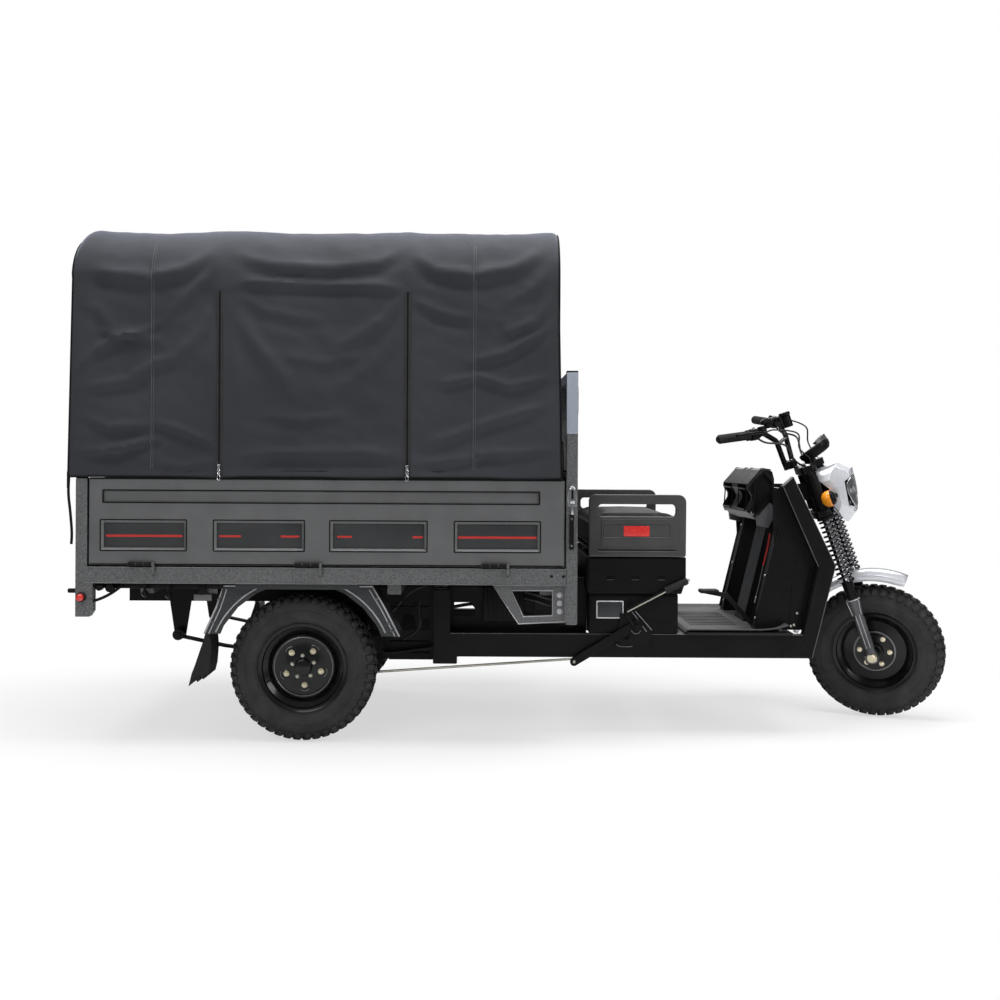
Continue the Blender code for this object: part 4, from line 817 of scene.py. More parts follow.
def cover_section(rows_side, rows_shoulder, rows_top):
    """The cover's outline across the machine with its outward normals, from the right hem to the left hem."""
    right = [(-COVER_HALF, HEM + (WALL_TOP - HEM) * i / rows_side, -1.0, 0.0) for i in range(rows_side)]
    for i in range(rows_shoulder):
        a = pi - pi / 2 * i / rows_shoulder
        right.append((-COVER_HALF + COVER_R + COVER_R * cos(a), WALL_TOP + COVER_R * sin(a),
                      cos(a), sin(a)))
    for i in range(rows_top):
        t = i / rows_top
        right.append((-(COVER_HALF - COVER_R) * (1 - t), COVER_TOP + 0.018 * (1 - (1 - t) ** 2), 0.0, 1.0))
    return right + [(0.0, COVER_TOP + 0.018, 0.0, 1.0)] + [(-y, z, -u, v) for y, z, u, v in reversed(right)]


def between_bows(x):
    """0 on a bow and 1 half way between two of them."""
    for (_, a), (b, _) in zip(CRESTS, CRESTS[1:]):
        if a < x < b:
            return sin(pi * (x - a) / (b - a)) ** 0.75
    return 0.0


def fold_height(x, z, path, depth, width, undercut):
    """One drawn fold at a point of the wall: a ridge along the path with a hollow under it."""
    best, found = None, 0.0
    total = len(path) - 1
    for i, ((ax, az), (bx, bz)) in enumerate(zip(path, path[1:])):
        ux, uz = bx - ax, bz - az
        length = hypot(ux, uz)
        t = ((x - ax) * ux + (z - az) * uz) / length ** 2
        inside = min(1.0, max(0.0, t))
        away = hypot(x - ax - ux * inside, z - az - uz * inside)
        if best is None or away < best:
            best = away
            across = ((z - az) * ux - (x - ax) * uz) / length
            if ux < 0 and abs(ux) > abs(uz) * STEEP:
                across = -across
            beyond = max(0.0, -t, t - 1.0) * length
            along = (i + inside) / total
            found = (across, along, beyond)
    if best > 5 * width:
        return 0.0
    across, along, beyond = found
    swell = (0.35 + 0.65 * sin(pi * along) ** 0.6) * exp(-(beyond / width) ** 2)
    ridge = exp(-(across / width) ** 2)
    hollow = exp(-((across + 1.55 * width) / (1.1 * width)) ** 2)
    return depth * swell * (ridge - undercut * 0.62 * hollow)


def wall_relief(x, z, side):
    """How far the cloth stands off its plane: the drawn folds, soft waves and small crumples."""
    if side > 0:
        x, z = x + 0.045 * sin(z * 4.0 + 1.0), z + 0.03 * sin(x * 5.0)
    lift = FOLD_GAIN * sum(fold_height(x, z, *fold) for fold in FOLDS)
    lift += 0.006 * noise.noise(Vector((x * 3.1 + side * 7, z * 4.0, 1.7 * side)))
    lift += 0.0062 * noise.noise(Vector((x * 6.5 + z * 3.0 + side, z * 10.0, 5.0 * side)))
    lift += 0.003 * noise.noise(Vector((x * 17.0 + z * 9, z * 24.0, 9.0 * side)))
    for line in ZIPS + SEAMS:
        lift *= 1 - 0.75 * exp(-((x - line) / 0.012) ** 2)
    return lift


def cover_point(x, outline_point, side):
    """A point of the cover, moved from the plain outline: rounded ends, sag between the bows, and folds."""
    y, z, across, up = outline_point
    from_rear, from_front = x - COVER_REAR, COVER_FRONT - x
    rise = max(0.0, (z - WALL_TOP) / COVER_R)
    place = Vector((x, y, z))
    for reach, gap in ((CORNER_REAR, from_rear), (CORNER_FRONT, from_front)):
        reach *= min(1.0, rise)
        if gap < reach:
            place.z -= reach - sqrt(max(reach ** 2 - (reach - gap) ** 2, 0.0))
    relief = wall_relief(x, z, side) if abs(y) > COVER_HALF - COVER_R + 0.02 else 0.0
    roof = 0.0
    if up > 0.3:
        roof = 0.0042 * noise.noise(Vector((x * 6.5, y * 5.0, 3.0)))
        roof += 0.002 * noise.noise(Vector((x * 20.0 + y * 6, y * 15.0, 8.0)))
    slack = between_bows(x)
    hang = -slack * (0.009 + 0.011 * min(1.0, rise + 0.25) * (1 - rise) - 0.001 * min(1.0, rise))
    on_bow = 0.3 + 0.7 * min(1.0, slack * 2.2)
    edge = min(1.0, from_rear / 0.05, from_front / 0.04)
    flat = max(0.0, 1 - (z - HEM) / 0.05) if z < WALL_TOP else 0.0
    folds = (relief * (1 - up) + roof * up) * on_bow * edge * (1 - 0.6 * flat)
    amount = hang * (1 - 0.7 * flat) + folds
    amount = max(-0.034, min(0.013 if up < 0.3 else 0.004, amount))
    place.y += across * amount
    place.z += up * amount
    if up < 0.01:
        place.y -= side * 0.006 * max(0.0, 1 - from_rear / 0.06) ** 2
    return place


def pull_ends(place, x, z):
    """Draw the cover's ends in: the rear flares towards its hem, and the front edge slants."""
    from_rear, from_front = x - COVER_REAR, COVER_FRONT - x
    if from_rear < END_REACH:
        flare = max(0.0, 1 - (z - HEM) / 0.9) * 0.018
        place.x += (0.02 - flare) * (1 - from_rear / END_REACH)
    if from_front < END_REACH:
        place.x -= 0.012 * min(1.0, (z - HEM) / 0.55) * (1 - from_front / END_REACH)


def end_panel(bm, row, front):
    """Cloth across one end, sewn to the sheet's edge. The front one stops at its own hem."""
    sign = 1 if front else -1
    half = len(row) // 2
    across = 40
    previous = None
    for j in range(half):
        a, b = row[j], row[-1 - j]
        if front and a.co.z < FRONT_HEM:
            continue
        line = [a]
        for k in range(1, across):
            t = k / across
            p = a.co.lerp(b.co, t)
            bulge = sin(pi * t) ** 0.7
            height = (p.z - HEM) / (COVER_TOP - HEM)
            if front:
                p.x += 0.008 * bulge * sin(pi * min(1, max(0, height)))
            p.x -= sign * 0.011 * bulge * (0.5 + 0.5 * sin(height * 9 + 2 * t))
            p.x += sign * 0.008 * noise.noise(Vector((p.y * 3.5, p.z * 6.0, 4.0 + sign))) * bulge
            crumple = noise.noise(Vector((p.y * 11.0 + p.z * 5, p.z * 15.0, 14.0 + sign)))
            p.x += sign * 0.004 * crumple * bulge
            line.append(bm.verts.new(p))
        line.append(b)
        if previous:
            for k in range(across):
                bm.faces.new((previous[k], previous[k + 1], line[k + 1], line[k]))
        previous = line
    for k in range(across):
        bm.faces.new((previous[k], previous[k + 1], row[half]))


def canopy_cover():
    """The whole cover as one sheet: roof and sides over the bows, with both end panels sewn to it."""
    section = cover_section(66, 18, 12)
    count = len(section)
    columns = 170
    inset = 0.0035
    points = []
    for i in range(columns + 1):
        x = COVER_REAR + inset + (COVER_FRONT - COVER_REAR - 2 * inset) * i / columns
        row = []
        for j, outline_point in enumerate(section):
            side = -1 if j < count / 2 else 1
            place = cover_point(x, outline_point, side)
            if j in (0, count - 1):
                wobble = 0.003 * sin(x * 11.0 + side) + 0.0028 * noise.noise(Vector((x * 9.0, side, 0)))
                place.z += min(0.0005, wobble)
            pull_ends(place, x, outline_point[1])
            row.append(place)
        points.append(row)
    shape = Shape()
    bm = shape.bm
    rows = [[bm.verts.new(p) for p in row] for row in points]
    for a, b in zip(rows, rows[1:]):
        for j in range(count - 1):
            bm.faces.new((a[j], b[j], b[j + 1], a[j + 1]))
    end_panel(bm, rows[0], False)
    end_panel(bm, rows[-1], True)
    bmesh.ops.recalc_face_normals(bm, faces=bm.faces)
    area = sum(f.calc_area() for f in bm.faces)
    made = shape.done("canopy_cover", "canvas", 60, ["canopy"])
    thicken(made, CLOTH_THICK)
    trims = cover_trims(points, count)


def cover_trims(points, count):
    """Cords on the cover's edges, zips with their sliders, sewn seams and the tie straps at its corners."""
    cord, tape, teeth, pull, thread = (Shape() for _ in range(5))

    def off(p, side, out):
        return Vector((p.x, p.y + side * out, p.z))

    for row, sign in ((points[0], -1), (points[-1], 1)):
        cord.tube([Vector((p.x + sign * 0.0005, p.y, p.z)) for p in row], 0.0034, 8)
    for side, edge in ((-1, 0), (1, count - 1)):
        cord.tube([off(row[edge], side, 0.0004) + Vector((0, 0, 0.001)) for row in points], 0.0024, 8)

        def column(x):
            return min(range(len(points)), key=lambda i: abs(points[i][edge].x - x))

        def wall(x, low, high, out):
            row = points[column(x)]
            picked = row[:count // 2] if side < 0 else list(reversed(row))[:count // 2]
            return [Vector((x, p.y + side * out, p.z)) for p in picked if low <= p.z <= high]

        for x in ZIPS:
            path = wall(x, 0.0, 1.678, 0.0008)
            for low, high in ((-0.0115, -0.0022), (0.0022, 0.0115)):
                section = ((low, 0.0006), ((low + high) / 2, 0.0022), (high, 0.0006))
                tape.grid([[p + Vector((u, side * v, 0)) for u, v in section] for p in path])
            teeth.tube([p + Vector((0, side * 0.0008, 0)) for p in path], 0.0022, 8)
            for z in (1.032, 1.01):
                base = path[min(range(len(path)), key=lambda k: abs(path[k].z - z))]
                spot = Vector((x, base.y + side * 0.0035, z))
                pull.box(about(x, 0.0052), (spot.y, spot.y + side * 0.0045), (z - 0.008, z + 0.006), 0.0016,
                         3)
                pull.tube([spot + Vector((0.0045 * sin(t), side * 0.0055, -0.019 + 0.0105 * cos(t)))
                           for t in ring_angles(16)], 0.0013, 8, True)
        for x in SEAMS:
            path = wall(x, 1.02, 1.86, 0.0007)
            thread.tube(path, 0.0013, 6)
            thread.tube([p + Vector((0.008, 0, 0)) for p in path], 0.001, 6)
        tie = [Vector((-1.707, side * 0.656, 1.0)), Vector((-1.7085, side * 0.657, 0.93)),
               Vector((-1.701, side * 0.658, 0.86)), Vector((-1.696, side * 0.656, 0.79)),
               Vector((-1.698, side * 0.654, 0.745))]
        cord.tube(smooth(tie, 6), 0.005, 10)
        cord.rod((-1.712, side * 0.6575, 1.01), (-1.712, side * 0.6575, 0.95), 0.0028, sides=10)
        pull.rod((0.084, side * 0.66, 1.15), (0.086, side * 0.66, 1.128), 0.0032, sides=10, bevel=0.0008)
        cord.tube([(0.097, side * 0.66, 1.13), (0.0995, side * 0.659, 1.06), (0.1005, side * 0.657, 1.0)],
                  0.0022, 8)
    return [cord.done("cover_cords", "matt", 60), tape.done("zip_tapes", "tape", 50),
            teeth.done("zip_teeth", "matt", 60), pull.done("zip_sliders", "chrome", 40),
            thread.done("cover_stitching", "canvas_thread", 60)]


# Steering


def front_fork():
    legs, tubes, black, bright, brass = (Shape(STEERING, "steering") for _ in range(5))
    for side, _ in SIDES:
        y = side * HALF_LEGS
        leg = [(0.0, -0.024), (0.017, -0.024), (0.0205, -0.016), (0.0205, 0.02), (0.0185, 0.03),
               (0.0185, 0.17), (0.0195, 0.192), (0.025, 0.222), (0.0262, 0.23), (0.0262, 0.248),
               (0.0235, 0.252), (0.0, 0.252)]
        upright = moved((FORK_OFFSET, y, 0)) @ UPRIGHT
        legs.turned(leg, 40, upright)
        for k in range(10):
            a = radians(36 * k + 9)
            u = Vector((cos(a), sin(a), 0))
            foot = Vector((FORK_OFFSET, y, 0)) + u * 0.0182
            legs.rod(foot + Vector((0, 0, 0.036)), foot + Vector((0, 0, 0.172)), 0.0021, None, 8, 0.0008)
        legs.box((FORK_OFFSET - 0.03, FORK_OFFSET + 0.022), about(y, 0.015), (-0.02, 0.016), 0.005)
        # Pale lines round the top of each lower leg, down its rims and along its face: painted highlights.
        ring = [(FORK_OFFSET + 0.0268 * cos(a), y + 0.0268 * sin(a), 0.249) for a in ring_angles(28)]
        bright.tube(ring, 0.0013, 6, True)
        for turn in (-1, 1):
            rim = [(FORK_OFFSET + turn * (0.024 - 0.0016 * k), y + side * (0.0225 + 0.0002 * k), z)
                   for k, z in enumerate((0.247, 0.232, 0.222, 0.205, 0.186))]
            bright.tube(smooth(rim, 5), 0.0013, 6)
        for shift in (-0.0075, 0.0075):
            line = [(FORK_OFFSET + shift, y + side * 0.0195, z) for z in (0.186, 0.11, 0.044)]
            bright.tube(smooth(line, 4), 0.0012, 6)
        tubes.rod((FORK_OFFSET, y, 0.24), (FORK_OFFSET, y, 0.829), 0.015, sides=36, bevel=0.001)
        black.rod((FORK_OFFSET, y, 0.252), (FORK_OFFSET, y, 0.326), 0.0205, 0.0235, 36, 0.002)
        black.turned([(0.0, 0.3262), (0.029, 0.3262), (0.032, 0.3282), (0.032, 0.3302), (0.029, 0.3302),
                      (0.0, 0.3302)], 40, upright)
        black.turned([(0.0155, 0.322), (0.0235, 0.322), (0.0235, 0.327), (0.0155, 0.327)], 32, upright, True)
        black.turned([(0.0155, 0.6045), (0.033, 0.6045), (0.0345, 0.6), (0.033, 0.5955), (0.0155, 0.5955)],
                     40, upright, True)
        black.rod((FORK_OFFSET, y, 0.636), (FORK_OFFSET, y, 0.794), 0.0245, sides=36, bevel=0.003)
        tubes.rod((FORK_OFFSET, y, 0.826), (FORK_OFFSET, y, 0.833), 0.0125, sides=6, bevel=0.0015)
        brass.nut((FORK_OFFSET, side * (HALF_LEGS + 0.017), 0), (0, side, 0), 0.017, 0.0115, 0.0195)
        brass.rod((FORK_OFFSET, side * (HALF_LEGS + 0.024), 0), (FORK_OFFSET, side * 0.1448, 0), 0.0085, None,
                  20, 0.001)
    half = [(-0.03, 0.03), (0.014, HALF_LEGS + 0.018), (0.034, HALF_LEGS + 0.0245),
            (FORK_OFFSET + 0.024, HALF_LEGS + 0.016), (FORK_OFFSET + 0.028, HALF_LEGS - 0.016),
            (0.043, 0.034)]
    whole = [(-0.03, -0.03), *half, *((x, -y) for x, y in reversed(half))]
    outline = [(p.x, p.y) for p in smooth([(x, y, 0) for x, y in whole], 4)[:-1]]
    for low in (0.605, 0.795):
        black.plate(outline, low, low + 0.03, "XY", 0.0035, segments=2)
    black.rod((0, 0, 0.61), (0, 0, 0.822), 0.016, sides=24)
    black.rod((FORK_OFFSET, -HALF_LEGS, 0), (FORK_OFFSET, HALF_LEGS, 0), 0.017, sides=24)
    legs.done("fork_lower_legs", "cast", 30)
    tubes.done("fork_tubes", "chrome", 30)
    bright.done("fork_leg_lines", "edge")
    brass.done("axle_nuts", "brass")
    black.done("fork_yokes", "black", 30, ["fork"])
    for side, word in SIDES:
        coil = Shape(STEERING, "steering")
        turns, per_turn = 13, 20
        count = turns * per_turn
        turning = [(2 * pi * i / per_turn, i / count) for i in range(count + 1)]
        coil.tube([(FORK_OFFSET + 0.0278 * cos(a), side * HALF_LEGS + 0.0278 * sin(a), 0.3352 + 0.2595 * t)
                   for a, t in turning], 0.0047, 10)
        coil.done(f"fork_spring_{word}", "spring", 60, [f"coil_spring_{word}"])


BAR_BEND = Vector((-0.07, -0.19, 1.01))
BAR_END = Vector((-0.204, -0.385, 1.05))
GRIP_LENGTH = 0.16


def sided(point, side):
    """A point given for the right-hand end of the bar, on the side asked for."""
    return Vector((point[0], -side * point[1], point[2]))


def bar_end(side, word, clamps, levers, cables, glossy):
    """Grip, switch housing, brake lever and cables at one end of the bar."""
    along_right = (BAR_END - BAR_BEND).normalized()
    along = sided(along_right, side)
    start = sided(BAR_END - along_right * (GRIP_LENGTH - 0.0063), side)
    up = Vector((0, 0, 1))
    ahead = up.cross(along) * side
    if ahead.x < 0:
        ahead = -ahead
    grip = Shape(STEERING, "steering")
    place, _ = frame_along(start, start + along)
    turn = place @ UPRIGHT
    outline = [(0.0, 0.0), (0.022, 0.0), (0.0225, 0.003), (0.019, 0.0085), (0.016, 0.01)]
    for k in range(30):
        w = 0.012 + 0.0047 * k
        outline += [(0.0174, w), (0.0184, w + 0.001), (0.0184, w + 0.003), (0.0174, w + 0.004)]
    outline += [(0.015, 0.1545), (0.013, 0.16), (0.0, 0.16)]
    grip.turned(outline, 40, turn)
    grip.done(f"handle_grip_{word}", "rubber", 50, [f"grip_{word}"])
    clamps.rod(start - along * 0.012, start - along * 0.046, 0.024, sides=36, bevel=0.004)
    clamps.rod(start - along * 0.048, start - along * 0.058, 0.016, sides=30, bevel=0.001)
    clamps.box((-0.01, 0.016), (-0.019, 0.019), (-0.026, 0.024), 0.006, 3,
               place @ moved((0, 0, -0.034)) @ Matrix.Rotation(0.5, 4, "Z"))
    glossy.rod(start - along * 0.03 + up * 0.02 + ahead * 0.01, start - along * 0.03 + up * 0.028
               + ahead * 0.014, 0.0065, sides=16, bevel=0.0015)
    perch = moved(start - along * 0.072 + ahead * 0.012) @ frame_along((0, 0, 0), along)[0]
    clamps.box((-0.014, 0.014), (-0.012, 0.028), (-0.014, 0.014), 0.004, 3, perch)
    pivot_at = start - along * 0.066 + ahead * 0.03
    reach = [pivot_at, start - along * 0.03 + ahead * 0.052, start + along * 0.03 + ahead * 0.06,
             start + along * 0.105 + ahead * 0.056]
    path = smooth(reach, 8)
    levers.tube(path, [0.0085 - 0.0035 * min(1, k / 12) for k in range(len(path))], 12)
    levers.rod(path[-1] - along * 0.003, path[-1] + along * 0.006, 0.0072, sides=16, bevel=0.002)
    levers.rod(pivot_at - up * 0.012, pivot_at + up * 0.012, 0.0075, sides=16, bevel=0.001)
    sag = sided((0.035, -0.12, 0.905), side)
    cables.tube(smooth([pivot_at - along * 0.004, pivot_at - along * 0.045 + ahead * 0.014 + up * 0.004,
                        sag + Vector((0.012, 0, 0.06)), sag, sided((0.05, -0.062, 0.85), side),
                        sided((0.04, -0.04, 0.826), side)], 8), 0.0033, 10)
    run = ((-0.01, -0.15, 0.935), (-0.005, -0.105, 0.87), (0.01, -0.07, 0.834), (0.02, -0.05, 0.827))
    cables.tube(smooth([start - along * 0.046 - up * 0.018, start - along * 0.085 - up * 0.04,
                        *(sided(p, side) for p in run)], 8), 0.004, 10)


def handlebar():
    """The bent bar with its clamps, its two ends and the round housing and knob beside them."""
    bar, clamps, levers, cables, glossy = (Shape(STEERING, "steering") for _ in range(5))
    foot = 0.839
    rise = ((-0.045, 0.0, foot), (-0.048, -0.085, foot), (-0.045, -0.115, 0.96), BAR_BEND, BAR_END)
    right = [Vector(p) for p in rise]
    left = [Vector((p.x, -p.y, p.z)) for p in reversed(right[1:])]
    bar.tube(rounded(left + right, 0.032, 8), 0.011, 20)
    bar.tube([(-0.0455, 0.112, 0.945), (-0.044, 0.0, 0.948), (-0.0455, -0.112, 0.945)], 0.0075, 14)
    for y in (-0.028, 0.028):
        clamps.box((-0.068, -0.022), about(y, 0.011), (0.8255, 0.858), 0.004)
        for x in (-0.062, -0.028):
            glossy.rod((x, y, 0.857), (x, y, 0.864), 0.0045, sides=12, bevel=0.001)
    for side, word in SIDES:
        bar_end(side, word, clamps, levers, cables, glossy)
    top = Vector((-0.028, 0.15, 1.052))
    clamps.rod(top - Vector((0, 0, 0.066)), top - Vector((0, 0, 0.016)), 0.0215, sides=40, bevel=0.002)
    clamps.rod(top - Vector((0, 0, 0.016)), top, 0.0242, sides=40, bevel=0.003)
    bend = sided(BAR_BEND, 1) + Vector((0.01, -0.012, -0.01))
    clamps.rod(top - Vector((0, 0, 0.054)), bend, 0.01, sides=20)
    knob = sided(BAR_BEND, -1) + Vector((0.024, 0.004, 0.014))
    clamps.rod(knob, knob + Vector((0.002, 0, 0.022)), 0.013, 0.0145, 32, 0.003)
    button = [(0.0, 0.022), (0.0235, 0.022), (0.025, 0.026), (0.0215, 0.036), (0.01, 0.041), (0.0, 0.042)]
    clamps.turned(button, 40, moved(knob) @ UPRIGHT)
    bar.done("handlebar_tube", "black", 40, ["handlebar"])
    clamps.done("bar_clamps", "plastic", 35)
    levers.done("brake_levers", "black", 40)
    cables.done("bar_cables", "cable", 60)
    glossy.done("bar_screws", "zinc")


def swollen(value, power):
    """A sine or cosine bent towards a square outline, with its sign kept."""
    return copysign(abs(value) ** power, value)


def gauge():
    tilt = STEERING @ moved((0.018, 0, 0.85)) @ Matrix.Rotation(radians(-19), 4, "Y")
    pod, rim, face, marks = (Shape(tilt, "steering") for _ in range(4))

    middle = 0.057

    def oval(rx, ry, z):
        return [Vector((middle + rx * swollen(cos(a), 0.8), ry * swollen(sin(a), 0.8), z))
                for a in ring_angles(48)]

    levels = ((0.036, 0.036, -0.025), (0.054, 0.056, -0.022), (0.064, 0.064, -0.01), (0.068, 0.068, 0.0),
              (0.0688, 0.0695, 0.01), (0.066, 0.067, 0.0158), (0.058, 0.058, 0.016), (0.056, 0.056, 0.012))
    rows = [oval(*level) for level in levels]
    pod.grid(rows, closed_v=True)
    floor = Shape(tilt, "steering")
    floor.grid([oval(r, r, z) for r, z in ((0.056, 0.0122), (0.03, 0.0132), (0.001, 0.0135))], closed_v=True)
    rim.tube(oval(0.0615, 0.062, 0.0155), 0.0018, 8, True)
    face.grid([oval(r, r, z) for r, z in ((0.0575, 0.014), (0.035, 0.016), (0.001, 0.0166))], closed_v=True)
    for k in range(23):
        a = radians(-30 + 240 * k / 22)
        u = Vector((sin(a) * 0.9, cos(a), 0))
        size = 0.04 if k % 2 else 0.037
        marks.tube([Vector((0.057, 0, 0.0137)) + u * size, Vector((0.057, 0, 0.0137)) + u * 0.044], 0.0006, 6)
    marks.tube([(0.06, 0.004, 0.014), (0.04, -0.022, 0.014)], 0.0007, 6)
    visor = []
    for k in range(17):
        a = radians(-62 + 124 * k / 16)
        x, y = 0.057 + 0.069 * cos(a), 0.069 * sin(a)
        rise = 0.02 * cos(a) ** 0.6
        section = ((0.0, 1.0, 0.006), (0.0015, 1.0, 0.014 + rise), (-0.014, 0.9, 0.015 + rise * 1.1),
                   (-0.013, 0.88, 0.012 + rise), (-0.004, 0.96, 0.008 + rise * 0.6), (-0.004, 0.96, 0.006))
        visor.append([Vector((x + ahead, y * narrow, z)) for ahead, narrow, z in section])
    rim.grid(visor, closed_v=True)
    pod.done("gauge_pod", "plastic", 40, ["gauge"])
    floor.done("gauge_dial", "matt")
    rim.done("gauge_visor", "grey_plastic", 40)
    face.done("gauge_glass", "glass")
    marks.done("gauge_marks", "edge")
    stalk = Shape(STEERING, "steering")
    stalk.box((0.02, 0.06), (-0.028, 0.028), (0.8255, 0.862), 0.004)
    for side, _ in SIDES:
        stalk.box((0.03, 0.052), (side * 0.028, side * 0.034), (0.828, 0.862), 0.002)
    stalk.done("gauge_bracket", "black")


# Outlines of the headlamp's hood in (x, z), at their distance from the middle
HOOD_SLICES = {
    0.0: ((0.116, 0.55), (0.156, 0.582), (0.164, 0.604), (0.1865, 0.732), (0.19, 0.76),
          (0.148, 0.801), (0.04, 0.791), (0.084, 0.715), (0.078, 0.612)),
    0.034: ((0.115, 0.55), (0.155, 0.582), (0.163, 0.604), (0.1855, 0.731), (0.188, 0.758),
            (0.146, 0.798), (0.04, 0.789), (0.084, 0.715), (0.078, 0.612)),
    0.059: ((0.111, 0.556), (0.149, 0.588), (0.159, 0.608), (0.181, 0.728), (0.178, 0.748),
            (0.136, 0.788), (0.044, 0.78), (0.085, 0.714), (0.078, 0.616)),
    0.073: ((0.104, 0.576), (0.132, 0.598), (0.143, 0.618), (0.156, 0.718), (0.15, 0.734),
            (0.116, 0.768), (0.052, 0.764), (0.087, 0.713), (0.08, 0.626)),
    0.085: ((0.098, 0.606), (0.112, 0.62), (0.12, 0.64), (0.128, 0.702), (0.124, 0.714),
            (0.1, 0.742), (0.066, 0.742), (0.089, 0.708), (0.084, 0.64)),
}
MOUTH = 2


def headlamp_hood():
    """A faceted shell through the slices, open where the lamp looks out."""
    shell = Shape(STEERING, "steering")
    ys = sorted(HOOD_SLICES)
    ys = [-y for y in reversed(ys[1:])] + ys
    rows = [[shell.bm.verts.new((x, y, z)) for x, z in HOOD_SLICES[abs(y)]] for y in ys]
    count = len(rows[0])
    for i, (a, b) in enumerate(zip(rows, rows[1:])):
        for j in range(count):
            window = j == MOUTH and max(abs(ys[i]), abs(ys[i + 1])) < 0.075
            if not window:
                k = (j + 1) % count
                shell.bm.faces.new((a[j], a[k], b[k], b[j]))
    for row in (rows[0], rows[-1]):
        shell.bm.faces.new(row)
    bmesh.ops.recalc_face_normals(shell.bm, faces=shell.bm.faces)
    hood = shell.done("headlamp_hood", "silver", 12, ["headlamp_cowl"])
    thicken(hood, 0.0025)
    edge = hood.modifiers.new("edge", "BEVEL")
    edge.width = 0.0022
    edge.segments = 2
    edge.angle_limit = radians(12)


def headlamp():
    """The lamp inside its hood: bezel, bowl, glass and two barrels with their bulbs."""
    headlamp_hood()
    frame_ring, glass, bowl, bulb, black = (Shape(STEERING, "steering") for _ in range(5))

    def face_point(u, v, out=0.0):
        """A point on the lamp's front: u from side to side, v from the foot to the brow, both -1 to 1."""
        y = abs(0.0725 * u)
        slices = sorted(HOOD_SLICES)
        low = max(k for k, at in enumerate(slices[:-2]) if at <= y)
        a, b = HOOD_SLICES[slices[low]], HOOD_SLICES[slices[low + 1]]
        t = (y - slices[low]) / (slices[low + 1] - slices[low])
        foot = Vector(a[MOUTH]).lerp(Vector(b[MOUTH]), t)
        brow = Vector(a[MOUTH + 1]).lerp(Vector(b[MOUTH + 1]), t)
        at = foot.lerp(brow, (v + 1) / 2)
        return Vector((at.x + 0.005 * (1 - v * v) + out, 0.0725 * u, at.y))

    def ring(scale, out=0.0):
        points = []
        for a in ring_angles(56):
            u, v = swollen(cos(a), 0.36) * scale, swollen(sin(a), 0.36) * scale
            points.append(face_point(u * (1 + 0.16 * v) if v < 0 else u, v, out))
        return points

    glass.grid([ring(scale) for scale in (0.97, 0.8, 0.55, 0.3, 0.02)], closed_v=True)
    glass.done("lamp_glass", "glass", 40, ["headlamp_lens"])
    frame_ring.tube(ring(0.98, -0.0015), 0.0026, 10, True)
    frame_ring.grid([ring(0.97, -0.002), ring(0.9, -0.014), ring(0.72, -0.02)], closed_v=True)
    frame_ring.done("lamp_bezel", "chrome", 40)
    bowl.grid([ring(0.9, -0.0205), ring(0.62, -0.034), ring(0.3, -0.044), ring(0.02, -0.046)], closed_v=True)
    bowl.done("lamp_bowl", "chrome", 25)
    for v, size in ((0.42, 0.0165), (-0.36, 0.0185)):
        middle = face_point(0, v, -0.036)
        ahead = (face_point(0, v, 0.01) - face_point(0, v, -0.01)).normalized()
        place, _ = frame_along(middle, middle + ahead)
        turn = place @ UPRIGHT
        black.turned([(0.0, 0.0), (size, 0.0), (size + 0.0015, 0.016), (size - 0.0035, 0.018),
                      (size - 0.004, 0.012)], 36, turn)
        bulb.turned([(size - 0.004, 0.012), ((size - 0.004) * 0.8, 0.0185), ((size - 0.004) * 0.45, 0.0225),
                     (0.0, 0.024)], 36, turn)
    black.done("lamp_barrels", "matt")
    bulb.done("lamp_bulbs", "glass", 50)
    trim = Shape(STEERING, "steering")
    for side, _ in SIDES:
        trim.box((0.07, 0.1), (side * 0.0852, side * 0.08), (0.655, 0.7), 0.003)
    trim.box((0.0455, 0.1), (-0.029, 0.029), (0.611, 0.631), 0.002)
    trim.done("lamp_bracket", "black")


def indicators():
    """A lamp on a short stalk at each side of the headlamp."""
    for side, word in SIDES:
        lens, base = Shape(STEERING, "steering"), Shape(STEERING, "steering")
        start = Vector((0.104, side * 0.0853, 0.675))
        base.rod(start, start + Vector((0, side * 0.036, 0)), 0.0085, 0.007, 20, 0.001)
        base.turned([(0.007, 0.0), (0.011, 0.0), (0.0115, 0.003), (0.009, 0.006), (0.007, 0.006)], 28,
                    moved(start) @ facing(side), True)
        middle = start + Vector((-0.006, side * 0.054, 0))
        along_x = moved(middle) @ Matrix.Rotation(pi / 2, 4, "Z") @ Matrix.Diagonal((1, 1, 1.14, 1))
        base.turned([(0.0, -0.016), (0.015, -0.015), (0.022, -0.01), (0.0255, -0.003), (0.0255, 0.002),
                     (0.0, 0.002)], 40, along_x)
        lens.turned([(0.028, 0.0022), (0.0292, 0.006), (0.0285, 0.02), (0.0235, 0.032), (0.014, 0.0395),
                     (0.0, 0.042)], 40, along_x)
        for k in range(3):
            r = 0.029 - 0.0007 * k
            lens.turned([(r - 0.002, 0.008 + 0.006 * k), (r + 0.0007, 0.0092 + 0.006 * k),
                         (r - 0.002, 0.0108 + 0.006 * k)], 40, along_x)
        lens.done(f"indicator_lens_{word}", "amber", 40, [f"indicator_{word}"])
        base.done(f"indicator_base_{word}", "plastic", 40)


